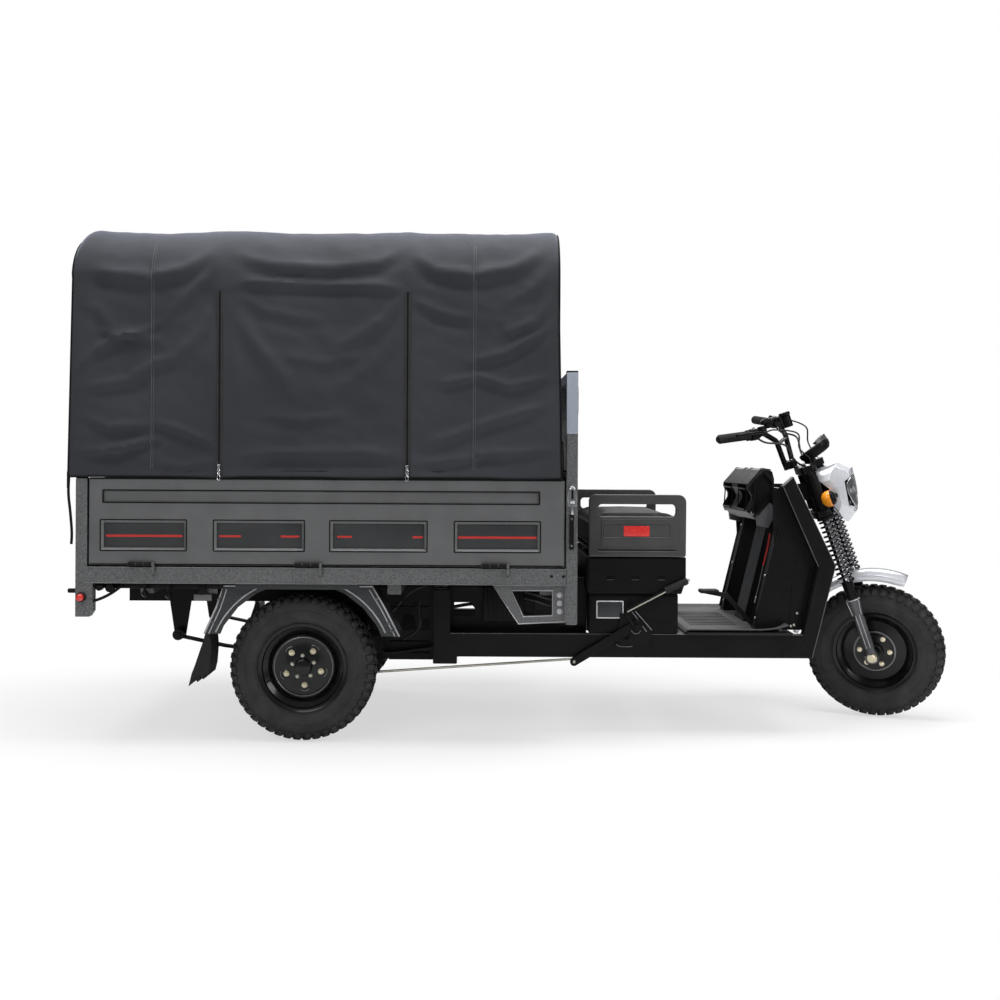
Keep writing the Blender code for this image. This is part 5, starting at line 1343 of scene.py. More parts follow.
def fender():
    shape = Shape(STEERING, "steering")
    rows = []
    steps = 44
    half = [(-0.0655, 0.306), (-0.0658, 0.322), (-0.064, 0.33), (-0.056, 0.3345), (-0.04, 0.3352),
            (-0.034, 0.3378)]
    section = [*half, (0.0, 0.338), *((-w, r) for w, r in reversed(half))]
    for i in range(steps + 1):
        a = radians(50 + 100 * i / steps)
        end = min(i, steps - i) / 3
        taper = min(1.0, 0.72 + 0.28 * sin(min(1.0, end) * pi / 2))
        row = []
        for w, r in section:
            radius = r if r > 0.325 else 0.33 + (r - 0.33) * taper
            row.append(Vector((FORK_OFFSET + radius * cos(a), w * (0.9 + 0.1 * taper), radius * sin(a))))
        rows.append(row)
    shape.grid(rows)
    blade = shape.done("front_fender_blade", "silver", 30, ["front_fender"])
    thicken(blade, 0.0028, 0.0)
    stays = Shape(STEERING, "steering")
    for side, _ in SIDES:
        stays.box(about(FORK_OFFSET, 0.012), band(side, 0.0635, 0.089), (0.2965, 0.3115), 0.002)
        for x in (-0.007, 0.007):
            stays.nut((FORK_OFFSET + x, side * 0.0668, 0.315), (0, side, 0), 0.0042, 0.003)
    stays.done("fender_stays", "black")


# Bed


STRIPES = (((-1.573, -1.293),), ((-1.158, -1.079), (-0.933, -0.865)), ((-0.726, -0.673), (-0.45, -0.413)),
           ((-0.284, 0.0045),))
STRIPE_Z = 0.776
TAIL_WINDOWS = ((-0.56, -0.22), (-0.17, 0.17), (0.22, 0.56))
TAIL_HINGES = ((-0.45, -0.36), (0.36, 0.45))
SLOT_Z = (0.898, 0.944)
HINGE_Z = 0.675
HINGE_OUT = 0.0118
BEAD_R = 0.0022


def on_side(u, v, out):
    """A point on a drop side: along the machine, up, and out from the middle."""
    return Vector((u, out, v))


def on_tail(u, v, back):
    """A point on the tail: across the machine, up, and its x."""
    return Vector((back, u, v))


def outline_at(place, u, v, level):
    return [place(a, b, level) for a, b in rect(u, v, 0.0025, 3)]


def pressing(bevel, seam, place, span, first, levels, shade_line_level):
    """A window pressed into a gate: its bevel in four steps, and a dark line round it, painted shade in the
    crease of the pressing.
    """
    rows = []
    for inset, level in zip((first, 0.0035, 0.007, 0.0085), levels):
        rows.append(outline_at(place, shrunk(span, inset), shrunk(WINDOW_Z, inset), level))
    bevel.grid(rows, closed_v=True)
    around = outline_at(place, shrunk(span, -0.0035), shrunk(WINDOW_Z, -0.0035), shade_line_level)
    seam.tube(around, BEAD_R, 8, True)


def beaded(shape, place, u, v, level):
    """Thin beads round a rectangle."""
    for b in v:
        shape.rod(place(u[0], b, level), place(u[1], b, level), BEAD_R, sides=8)
    for a in u:
        shape.rod(place(a, v[0], level), place(a, v[1], level), BEAD_R, sides=8)


def knuckles(shape, place, span, parts, level):
    """The barrels of a hinge: 0, 1 or 2 counts its thirds."""
    step = (span[1] - span[0]) / 3
    for part in parts:
        shape.rod(place(span[0] + step * part + 0.001, HINGE_Z, level),
                  place(span[0] + step * (part + 1) - 0.001, HINGE_Z, level), 0.008, None, 20, 0.0008)


def hinge_pin(shape, place, span, level):
    ends = [place(u, HINGE_Z, level) for u in shrunk(span, -0.003)]
    shape.rod(*ends, 0.004, None, 14, 0.0012)


def drop_side(side, word):
    """What shows on a gate's outside: windows with stripes, the long slot and the hinge barrels."""
    body = f"drop_side_{word}"
    flip = NO_TURN if side > 0 else Matrix.Diagonal((1, -1, 1, 1))
    ring, inset, dark, stripe, leaf, panel = (Shape(flip, body) for _ in range(6))
    depth = BED_HALF - RECESS
    levels = (BED_HALF + 0.0003, BED_HALF - 0.0035, BED_HALF - 0.006, depth + 0.0005)
    for span, stripes in zip(WINDOWS, STRIPES):
        pressing(ring, dark, on_side, span, -0.0005, levels, BED_HALF - 0.0002)
        inset.box(shrunk(span, 0.007), (depth + 0.0002, depth + 0.0022),
                  shrunk(WINDOW_Z, 0.007), 0.0006)
        half = 0.0042 if len(stripes) == 1 else 0.0038
        for ends in stripes:
            stripe.box(ends, (depth + 0.002, depth + 0.0028), (STRIPE_Z - half, STRIPE_Z + half), 0.0003)
    slot_x = (-1.582, 0.014)
    panel.box(shrunk(slot_x, 0.002), (BED_HALF - 0.0078, BED_HALF - 0.006),
              shrunk(SLOT_Z, 0.002), 0.0006)
    # Dark beads round the slot's rims: painted shade along its edges.
    beaded(dark, on_side, slot_x, SLOT_Z, BED_HALF - 0.0004)
    # Dark strips along the gate: the gap above the sill at the hinges, and painted shade along the top where
    # the cover's hem hangs over it.
    for inset_x, near, far, z, bevel in (
        (0.004, -0.002, 0.0012, (0.671, 0.6755), 0.0008),
        (0.002, -0.03, -0.0005, (0.9845, 0.9875), 0.001),
        (0.002, -0.004, -0.0006, (0.987, 0.99), 0.0006),
    ):
        dark.box(shrunk(GATE_X, inset_x), (BED_HALF + near, BED_HALF + far), z, bevel)
    for span in HINGES:
        knuckles(leaf, on_side, span, (0, 2), BED_HALF + HINGE_OUT)
    ring.done(f"window_bevels_{word}", "window_edge", 30)
    inset.done(f"window_insets_{word}", "inset")
    dark.done(f"gate_gap_and_painted_shade_{word}", "matt", 40)
    stripe.done(f"gate_stripes_{word}", "stripe")
    leaf.done(f"gate_hinges_{word}", "black")
    panel.done(f"gate_slot_floor_{word}", "bed_fine")


def latch(side, word):
    """The toggle latch at a drop side's front end: base plate, bail and handle, on the headboard post."""
    base, lever, pins = (Shape() for _ in range(3))
    face = side * (BED_HALF + 0.0005)

    def out(distance):
        return face + side * distance

    head = [(0.1165, 0.892), (0.1495, 0.892), (0.151, 0.94), (0.143, 0.968), (0.133, 0.978), (0.123, 0.968),
            (0.115, 0.94)]
    base.plate(head, *sorted((face, out(0.004))), bevel=0.0012)
    loop = [(0.124, 0.905), (0.124, 0.955), (0.133, 0.966), (0.142, 0.955), (0.142, 0.905)]
    base.tube(rounded(at_y(out(0.0065), loop), 0.006, 5), 0.003, 12)
    base.rod((0.124, out(0.0065), 0.906), (0.142, out(0.0065), 0.906), 0.0042, sides=16, bevel=0.001)
    base.box((0.1285, 0.1375), (out(0.001), out(0.0085)), (0.86, 0.908), 0.002)
    lever.box((0.129, 0.137), (out(0.004), out(0.0052)), (0.918, 0.952), 0.0005)
    lever.box((0.1225, 0.1385), (out(0.0005), out(0.012)), (0.735, 0.862), 0.0035, 3)
    for z in (0.748, 0.846):
        pins.rod((0.1305, out(0.0118), z), (0.1305, out(0.0135), z), 0.0038, sides=14, bevel=0.0008)
    base.done(f"latch_plate_{word}", "chrome")
    lever.done(f"latch_lever_{word}", "matt")
    pins.done(f"latch_rivets_{word}", "steel")


def bed_trims():
    """Beads, screws and caps on the sill and posts, and the lashing hooks under the bed's rear end."""
    dark, fine, black, blue = (Shape() for _ in range(4))
    sill_edges = (0.6045, 0.6615)
    for side, _ in SIDES:
        y = side * BED_HALF
        for z in sill_edges:
            fine.rod((BED_REAR + 0.03, y + side * 0.0002, z), (0.15, y + side * 0.0002, z), BEAD_R, sides=8)
        for span in HINGES:
            knuckles(black, on_side, span, (1,), side * (BED_HALF + HINGE_OUT))
            hinge_pin(black, on_side, span, side * (BED_HALF + HINGE_OUT))
        blue.box((0.1115, 0.152), (y - side * 0.0405, y + side * 0.0012), (1.157, 1.382), 0.002)
        black.box((0.1105, 0.153), (y - side * 0.042, y + side * 0.001), (1.383, 1.388), 0.002)
        for x in (0.059, 0.102):
            dark.rod((x, y + side * 0.0001, 0.636), (x, y + side * 0.003, 0.636), 0.0056, 0.0044, 16, 0.001)
        black.rod((-1.598, side * 0.622, 0.586), (-1.598, side * 0.652, 0.586), 0.0125, sides=24, bevel=0.003)
        black.rod((-1.56, side * 0.622, 0.584), (-1.56, side * 0.65, 0.584), 0.016, sides=24, bevel=0.003)
        hook = ((-1.632, 0.645, 0.532), (-1.59, 0.645, 0.546), (-1.552, 0.64, 0.566), (-1.52, 0.635, 0.59))
        black.tube(smooth(at_side(side, hook), 6), 0.0055, 10)
        for x, z in ((-1.431, 0.563), (-1.344, 0.557)):
            black.turned([(0.0, -0.014), (0.0085, -0.011), (0.0135, 0.0), (0.0085, 0.011), (0.0, 0.014)], 24,
                         moved((x, side * 0.64, z)))
            black.rod((x, side * 0.64, z), (x, side * 0.64, 0.602), 0.005, sides=14)
        black.box((-1.64, -1.15), (side * 0.61, side * 0.616), (0.58, 0.602), 0.0015)
        fine.box((-1.258, -1.192), (side * 0.612, side * 0.618), (0.536, 0.5585), 0.002)
        black.box((-1.24, -1.21), (side * 0.614, side * 0.62), (0.558, 0.602), 0.0015)
    for z in sill_edges:
        fine.rod((BED_REAR - 0.0002, -0.61, z), (BED_REAR - 0.0002, 0.61, z), BEAD_R, sides=8)
    fine.done("sill_beads", "bed_fine", 40)
    dark.done("sill_screws", "matt")
    black.done("post_caps", "black")
    blue.done("post_film_covers", "post_blue")


def tail_end():
    """What shows on the tailgate and its sill, and the tail lamps."""
    ring, inset, dark, stripe, leaf, panel = (Shape(body="tailgate_panel") for _ in range(6))
    fixed, pins = Shape(), Shape()
    face = BED_REAR
    levels = (face - 0.0003, face + 0.0035, face + 0.006, face + RECESS - 0.0005)
    middle = sum(WINDOW_Z) / 2 - 0.003
    for span in TAIL_WINDOWS:
        low, high = span
        # Each window with its bevel and a dark line of painted shade round it.
        pressing(ring, dark, on_tail, span, 0.0, levels, face + 0.0002)
        inset.box((face + RECESS - 0.0022, face + RECESS - 0.0002), (low + 0.007, high - 0.007),
                  shrunk(WINDOW_Z, 0.007), 0.0006)
        stripe.box((face + RECESS - 0.0028, face + RECESS - 0.002), (low + 0.0095, high - 0.0095),
                   about(middle, 0.0062), 0.0003)
    panel.box((face + 0.006, face + 0.0078), (-0.558, 0.558), (0.9, 0.942), 0.0006)
    panel.done("tail_slot_floor", "bed_fine")
    # Dark beads round the slot's rims: painted shade along its edges.
    beaded(dark, on_tail, (-0.56, 0.56), SLOT_Z, face + 0.0004)
    for span in TAIL_HINGES:
        low, high = span
        leaf.box((face - 0.0042, face - 0.0004), (low + 0.004, high - 0.004), (0.679, 0.716), 0.0012)
        fixed.box((face - 0.004, face - 0.0003), (low + 0.002, high - 0.002), (0.614, 0.666), 0.0012)
        knuckles(leaf, on_tail, span, (0, 2), face - HINGE_OUT)
        knuckles(fixed, on_tail, span, (1,), face - HINGE_OUT)
        hinge_pin(pins, on_tail, span, face - HINGE_OUT)
    ring.done("tail_window_bevels", "window_edge", 30)
    inset.done("tail_window_insets", "inset")
    dark.done("tail_painted_shade_lines", "matt", 40)
    stripe.done("tail_stripes", "stripe")
    leaf.done("tail_hinges", "bed_fine")
    fixed.done("tail_hinge_leaves", "bed_fine")
    pins.done("tail_hinge_pins", "black")
    for side, word in SIDES:
        lens, base = Shape(), Shape()
        x, z = -1.659, 0.552
        base.rod((x, side * 0.6603, z), (x, side * 0.673, z), 0.018, 0.0165, 36, 0.002)
        stud = [(x + ahead, side * 0.648, z + 0.022) for ahead in (-0.052, -0.022)]
        base.rod(*stud, 0.0085, None, 20, 0.002)
        lens.turned([(0.0, 0.6725), (0.0135, 0.6725), (0.014, 0.678), (0.0125, 0.683), (0.0075, 0.6852),
                     (0.0, 0.6856)], 36, moved((x, 0, z)) @ facing(side))
        lens.done(f"tail_lens_{word}", "red", 40, [f"tail_lamp_{word}"])
        base.done(f"tail_lamp_base_{word}", "plastic")


# Seat


SETTLE_FRAMES = 20
FOAM_PRESSURE = 4.0


def inflate(made, pinned, cap):
    """Fill a closed cover as foam does: cloth pushed out between pinned seams, no further than the cap."""
    rest = [v.co.copy() for v in made.data.vertices]
    group = made.vertex_groups.new(name="seams")
    group.add([v.index for v in made.data.vertices if pinned(v.co)], 1.0, "REPLACE")
    cloth = made.modifiers.new("filling", "CLOTH")
    cloth.settings.use_pressure = True
    cloth.settings.uniform_pressure_force = FOAM_PRESSURE
    cloth.settings.vertex_group_mass = "seams"
    cloth.settings.effector_weights.gravity = 0.0
    cloth.settings.quality = 4
    cloth.settings.mass = 0.3
    cloth.settings.bending_stiffness = 0.4
    cloth.point_cache.frame_start = 1
    cloth.point_cache.frame_end = SETTLE_FRAMES
    for number in range(1, SETTLE_FRAMES + 1):
        bpy.context.scene.frame_set(number)
    settled = made.evaluated_get(bpy.context.evaluated_depsgraph_get())
    places = [v.co.copy() for v in settled.data.vertices]
    bpy.context.scene.frame_set(1)
    made.modifiers.remove(cloth)
    made.vertex_groups.clear()
    for vertex, old, new in zip(made.data.vertices, rest, places):
        moved = new - old
        if moved.length > cap:
            moved *= cap / moved.length
        vertex.co = old + moved
    made.data.update()


def closed_cover(name, body, node, x, y, z, radius, crown, voxel, pinned, cap):
    """A stuffed cover: a rounded, crowned block remeshed fine, blown tight between its seams."""
    shape = Shape(body=body)
    shape.box(x, y, z, radius, 5)
    bmesh.ops.subdivide_edges(shape.bm, edges=shape.bm.edges[:], cuts=3, use_grid_fill=True)
    mid = Vector(((x[0] + x[1]) / 2, (y[0] + y[1]) / 2, (z[0] + z[1]) / 2))
    half = Vector((x[1] - x[0], y[1] - y[0], z[1] - z[0])) / 2
    for vertex in shape.bm.verts:
        u = (vertex.co - mid)
        crowned = (1 - (u.x / half.x) ** 2) * (1 - (u.y / half.y) ** 2)
        vertex.co.z += crown * crowned * (1 if u.z > 0 else 0)
    made = shape.done(name, "vinyl", 70, [node])
    remesh = made.modifiers.new("fine", "REMESH")
    remesh.mode = "VOXEL"
    remesh.voxel_size = voxel
    mesh = bpy.data.meshes.new_from_object(made.evaluated_get(bpy.context.evaluated_depsgraph_get()))
    made.modifiers.clear()
    made.data = mesh
    inflate(made, pinned, cap)
    made.data.shade_smooth()
    finer = made.modifiers.new("finer", "SUBSURF")
    finer.levels = finer.render_levels = 1
    return made


def cushions():
    x, y, z = (0.228, 0.578), (-0.381, 0.381), (0.7185, 0.846)
    seam_top, seam_low = 0.813, 0.733

    def held(p):
        on_side = p.x < x[0] + 0.012 or p.x > x[1] - 0.012 or abs(p.y) > y[1] - 0.012
        if p.z < 0.7215:
            return True
        return on_side and (abs(p.z - seam_top) < 0.0035 or abs(p.z - seam_low) < 0.0035)

    closed_cover("seat_cover", "seat", "seat_cushion", x, y, z, 0.03, 0.012, 0.006, held, 0.008)
    piping = Shape(body="seat")
    for level in (seam_top, seam_low):
        outline = rect(shrunk(x, -0.0005), shrunk(y, -0.0005), 0.028, 8)
        piping.tube([Vector((u, v, level)) for u, v in outline], 0.0032, 10, True)
    piping.done("seat_piping", "rubber")
    lid = Shape(body="seat")
    lid.plate(rect((0.222, 0.582), (-0.386, 0.386), 0.018, 5), 0.7062, 0.718, "XY", 0.003, segments=2)
    for v in (-0.25, 0.25):
        lid.box((0.2065, 0.224), about(v, 0.03), (0.7065, 0.7115), 0.0015)
    lid.done("seat_base", "plastic", 35, ["seat_lid"])
    px, py, pz = (0.15, 0.18), (-0.298, 0.298), (1.2275, 1.37)

    def pad_held(p):
        return p.x < px[0] + 0.003 or (abs(p.x - 0.16) < 0.003 and
                                       (abs(p.y) > py[1] - 0.01 or p.z < pz[0] + 0.01 or p.z > pz[1] - 0.01))

    closed_cover("back_pad_cover", "chassis", "backrest_pad", px, py, pz, 0.012, 0.0, 0.004, pad_held,
                 0.005)
    edge = Shape()
    outline = rect(shrunk(py, 0.0005), shrunk(pz, 0.0005), 0.012, 6)
    edge.tube([Vector((0.16, v, w)) for v, w in outline], 0.0026, 10, True)
    edge.done("back_pad_piping", "rubber")


def seat_box():
    for side, word in SIDES:
        arm, relief, dark, lens, line = (Shape() for _ in range(5))
        outline = (arc((0.559, 0.9), 0.03, 0, 90, 8) + arc((0.24, 0.905), 0.025, 90, 180, 6)
                   + [(0.215, 0.696), (0.218, 0.6915), (0.584, 0.6915), (0.588, 0.697)])
        window = rect((0.25, 0.549), (0.845, 0.893), 0.016, 6)
        arm.plate(outline, *band(side, 0.4015, 0.4275), bevel=0.0045, holes=[window], segments=3)
        relief.plate(rect((0.262, 0.537), (0.729, 0.836), 0.01, 4), *band(side, 0.4265, 0.4298),
                     bevel=0.0012, holes=[rect((0.272, 0.526), (0.764, 0.816), 0.005, 4)])
        relief.box((0.232, 0.572), (side * 0.4265, side * 0.4285), (0.7, 0.7065), 0.001)
        dark.box((0.271, 0.527), (side * 0.4262, side * 0.4272), (0.763, 0.817), 0.0003)
        dark.box((0.25, 0.552), (side * 0.4262, side * 0.428), (0.715, 0.7195), 0.0005)
        lens.box((0.348, 0.4475), (side * 0.4268, side * 0.4292), (0.7695, 0.8095), 0.0012, 3)
        # Pale lines along the recess's left and lower rims and along the panel's lower edges: painted
        # highlights.
        for a, b, y, radius in (
            ((0.2735, 0.766), (0.2735, 0.814), 0.4296, 0.0013),
            ((0.2735, 0.7655), (0.525, 0.7655), 0.4296, 0.0013),
            ((0.248, 0.712), (0.554, 0.712), 0.4282, 0.0012),
            ((0.215, 0.6935), (0.585, 0.6935), 0.427, 0.0011),
        ):
            line.rod(*at_y(side * y, (a, b)), radius, sides=8)
        arm.done(f"armrest_panel_{word}", "arm_grey", 30, [f"armrest_{word}"])
        relief.done(f"armrest_relief_{word}", "arm_grey", 30)
        dark.done(f"armrest_recess_{word}", "matt")
        lens.done(f"side_reflector_{word}", "red")
        line.done(f"armrest_lines_{word}", "steel")
    box, dark, line = Shape(), Shape(), Shape()
    outline = [(0.214, 0.5478), (0.573, 0.5478), (0.59, 0.6), (0.59, 0.6895), (0.2075, 0.6895),
               (0.2075, 0.58)]
    box.plate(outline, -0.4195, 0.4195, bevel=0.006, segments=3)
    vents = (0.298, 0.394, 0.494)
    skin_outline = [(0.224, 0.556), (0.566, 0.556), (0.582, 0.602), (0.582, 0.684), (0.215, 0.684),
                    (0.215, 0.582)]
    holes = [rect(about(c, 0.0155), (0.6035, 0.615), 0.004, 3) for c in vents]
    for side, _ in SIDES:
        box.plate(skin_outline, *band(side, 0.419, 0.4238), bevel=0.0016, holes=holes)
        for c in vents:
            dark.box(about(c, 0.016), band(side, 0.4192, 0.4204), (0.6032, 0.6153), 0.0003)
            # A pale line under each vent: a painted highlight on its lower lip.
            line.rod((c - 0.014, side * 0.4238, 0.6028), (c + 0.014, side * 0.4238, 0.6028), 0.0009, sides=8)
        fold = ((0.224, 0.584), (0.3, 0.573), (0.48, 0.573), (0.574, 0.584))
        box.tube(at_y(side * 0.423, fold), 0.0024, 8)
    box.done("seat_box_shell", "plastic", 30, ["seat_housing"])
    dark.done("seat_box_vents", "matt")
    line.done("seat_box_lines", "steel")
    low, frame_ring, plate, screws = (Shape() for _ in range(4))
    low.box((0.2185, 0.5635), (-0.398, 0.398), (0.3915, 0.5465), 0.008, 3)
    for side, _ in SIDES:
        for panel in (
            [(0.228, 0.402), (0.554, 0.402), (0.554, 0.436), (0.372, 0.448), (0.372, 0.536), (0.228, 0.536)],
            [(0.38, 0.456), (0.554, 0.444), (0.554, 0.536), (0.38, 0.536)],
        ):
            low.plate(panel, *band(side, 0.3975, 0.4), bevel=0.001)
    low.done("battery_case", "plastic", 30, ["battery_box"])
    frame_ring.plate(rect((0.247, 0.352), (0.451, 0.5195), 0.003, 3), -0.4026, -0.4002, bevel=0.0006,
                     holes=[rect((0.2514, 0.3476), (0.4554, 0.5151), 0.002, 3)])
    plate.box((0.2498, 0.3492), (-0.4018, -0.4004), (0.4538, 0.5167), 0.0003)
    for u in (0.2535, 0.3455):
        for w in (0.4575, 0.513):
            screws.rod((u, -0.4016, w), (u, -0.403, w), 0.0018, sides=10)
    frame_ring.done("plate_frame", "edge")
    plate.done("blank_plate", "plate")
    screws.done("plate_screws", "steel")


def storage_pod():
    cap, dark, panel, hook, seam = (Shape() for _ in range(5))
    outline = [(0.872, 0.852), (0.908, 0.829), (0.958, 0.829), (0.965, 0.9), (0.962, 0.985), (0.925, 1.024),
               (0.88, 0.985), (0.884, 0.916)]
    inner = [(0.882, 0.858), (0.91, 0.84), (0.95, 0.84), (0.956, 0.9), (0.953, 0.978), (0.924, 1.009),
             (0.89, 0.978), (0.894, 0.916)]
    for side, _ in SIDES:
        cap.plate(outline, *band(side, 0.2545, 0.266), bevel=0.003, holes=[inner], segments=2)
        dark.plate(inner, *band(side, 0.2552, 0.256))
        panel.plate([(0.89, 0.85), (0.935, 0.905), (0.976, 0.865), (0.936, 0.796), (0.896, 0.804)],
                    *band(side, 0.2556, 0.286), bevel=0.003, segments=2)
        seam.plate([(0.886, 0.85), (0.935, 0.911), (0.942, 0.902), (0.896, 0.846)],
                   *band(side, 0.2556, 0.2885), bevel=0.002, segments=2)
        bent = ((0.884, 0.262, 0.858), (0.878, 0.268, 0.846), (0.872, 0.268, 0.85), (0.873, 0.262, 0.86))
        hook.tube(smooth(at_side(side, bent), 6), 0.0022, 10)
        for w in (0.052, 0.24):
            section = ((0.86, 0.868), (0.8895, 0.917), (0.861, 0.96), (0.918, 1.0335), (0.955, 1.0275))
            seam.tube(at_y(side * w, section), 0.002, 8)
        ring = [(0.856 + 0.022 * (1 - abs(v - 0.913) / 0.045), side * w, v)
                for w, v in rect((0.062, 0.223), (0.868, 0.95), 0.012, 4)]
        seam.tube(ring, 0.0028, 8, True)
    cap.done("pod_side_rims", "plastic", 35)
    dark.done("pod_side_wells", "matt")
    panel.done("pod_side_panels", "grey_plastic", 35)
    hook.done("pod_hooks", "steel")
    seam.done("pod_seams", "plastic", 40)


def floor_and_shield():
    mat = Shape()
    rows = []
    rear_end, front_end = 0.594, 0.985
    for i in range(31):
        x = rear_end + (front_end - rear_end) * i / 30
        row = []
        for j in range(49):
            v = -0.423 + 0.846 * j / 48
            edge = max(0.0, (abs(v) - 0.38) / 0.043)
            front = max(0.0, (x - 0.925) / 0.06)
            rear = max(0.0, (0.606 - x) / 0.012)
            z = 0.4035 + 0.012 * max(edge, front) ** 2 - 0.004 * rear ** 2
            if abs(v) > 0.18:
                z += 0.016 * max(0.0, (x - 0.86) / 0.125) ** 2 * min(1.0, (abs(v) - 0.18) / 0.1)
            row.append(Vector((x, v, z + 0.0006 * noise.noise(Vector((x * 9, v * 9, 2))))))
        rows.append(row)
    mat.grid(rows)
    thicken(mat.done("floor_mat", "mat", 50), 0.003)
    grip = Shape()
    for k in range(9):
        v = -0.2 + 0.05 * k
        grip.rod((0.64, v, 0.404), (0.83, v, 0.404), 0.0022, sides=8)
    grip.done("floor_mat_ribs", "mat")
    ribs, bolts, red, line = (Shape() for _ in range(4))
    foot, head = Vector((0.872, 0, 0.403)), Vector((0.968, 0, 0.82))
    for side, _ in SIDES:
        for depth, v, rise in ((0.0, 0.357, 0.003), (0.0, 0.274, 0.002), (0.075, 0.256, 0.002)):
            a = foot + Vector((depth * 0.72 - 0.0025, side * v, 0.012))
            b = head + Vector((depth - 0.0025, side * v, -0.008))
            ribs.tube([a, b], rise + 0.001, 8)
        for t in (0.1, 0.5, 0.9):
            p = foot.lerp(head, t)
            ends = (p.x - 0.002, side * 0.315, p.z), (p.x - 0.0065, side * 0.315, p.z + 0.001)
            bolts.rod(*ends, 0.007, 0.005, 16, 0.001)
        for u, w in ((1.032, 0.47), (1.008, 0.42), (1.02, 0.424), (0.968, 0.404)):
            bolts.rod((u, side * 0.3605, w), (u, side * 0.3645, w), 0.005, sides=12, bevel=0.0008)
        # Pale lines along the edges of the frame tubes: painted highlights.
        for y, radius, path in (
            (0.4004, 0.0014, ((1.0045, 1.0), (0.967, 0.963), (1.1045, 0.655))),
            (0.4002, 0.0016, ((1.006, 1.0), (1.1705, 0.6575), (1.0815, 0.301))),
            (0.4004, 0.0013, ((1.0455, 0.3905), (-0.3165, 0.3905))),
        ):
            line.tube(at_y(side * y, path), radius, 8)
    red.tube(smooth([(0.985, -0.105, 0.765), (0.974, -0.106, 0.7), (0.957, -0.108, 0.633)], 8), 0.0038, 10)
    line.tube(smooth([(0.957, -0.108, 0.633), (0.944, -0.108, 0.57), (0.928, -0.108, 0.505)], 6), 0.003, 10)
    bolts.rod((0.929, -0.108, 0.507), (0.923, -0.108, 0.48), 0.0055, sides=12, bevel=0.001)
    ribs.done("shield_ribs", "black", 40)
    bolts.done("shield_bolts", "zinc")
    red.done("red_cable", "cable_red", 60)
    line.done("frame_edge_lines", "steel")
    panel = Shape()
    for side, _ in SIDES:
        panel.plate([(0.966, 0.404), (1.07, 0.404), (1.14, 0.655), (1.04, 0.9), (1.002, 0.975),
                     (0.938, 0.948), (0.938, 0.822)], *band(side, 0.3515, 0.3555), bevel=0.001)
        panel.plate([(1.0, 0.43), (1.036, 0.43), (1.082, 0.65), (1.03, 0.76)], *band(side, 0.3553, 0.358),
                    bevel=0.0012)
        panel.rod((1.05, side * 0.3575, 0.64), (1.05, side * 0.3592, 0.64), 0.017, sides=32, bevel=0.0008)
    panel.done("inner_side_panels", "plastic", 35)
    cap = Shape()
    for side, _ in SIDES:
        cap.plate([(1.0062, 1.003), (1.0125, 0.99), (0.976, 0.956), (0.965, 0.964)],
                  *band(side, 0.3595, 0.4008), bevel=0.0015)
        cap.tube([(1.044, side * 0.4002, 0.39), (1.08, side * 0.4002, 0.3015)], 0.0012, 8)
    cap.done("frame_tube_caps", "black", 35)


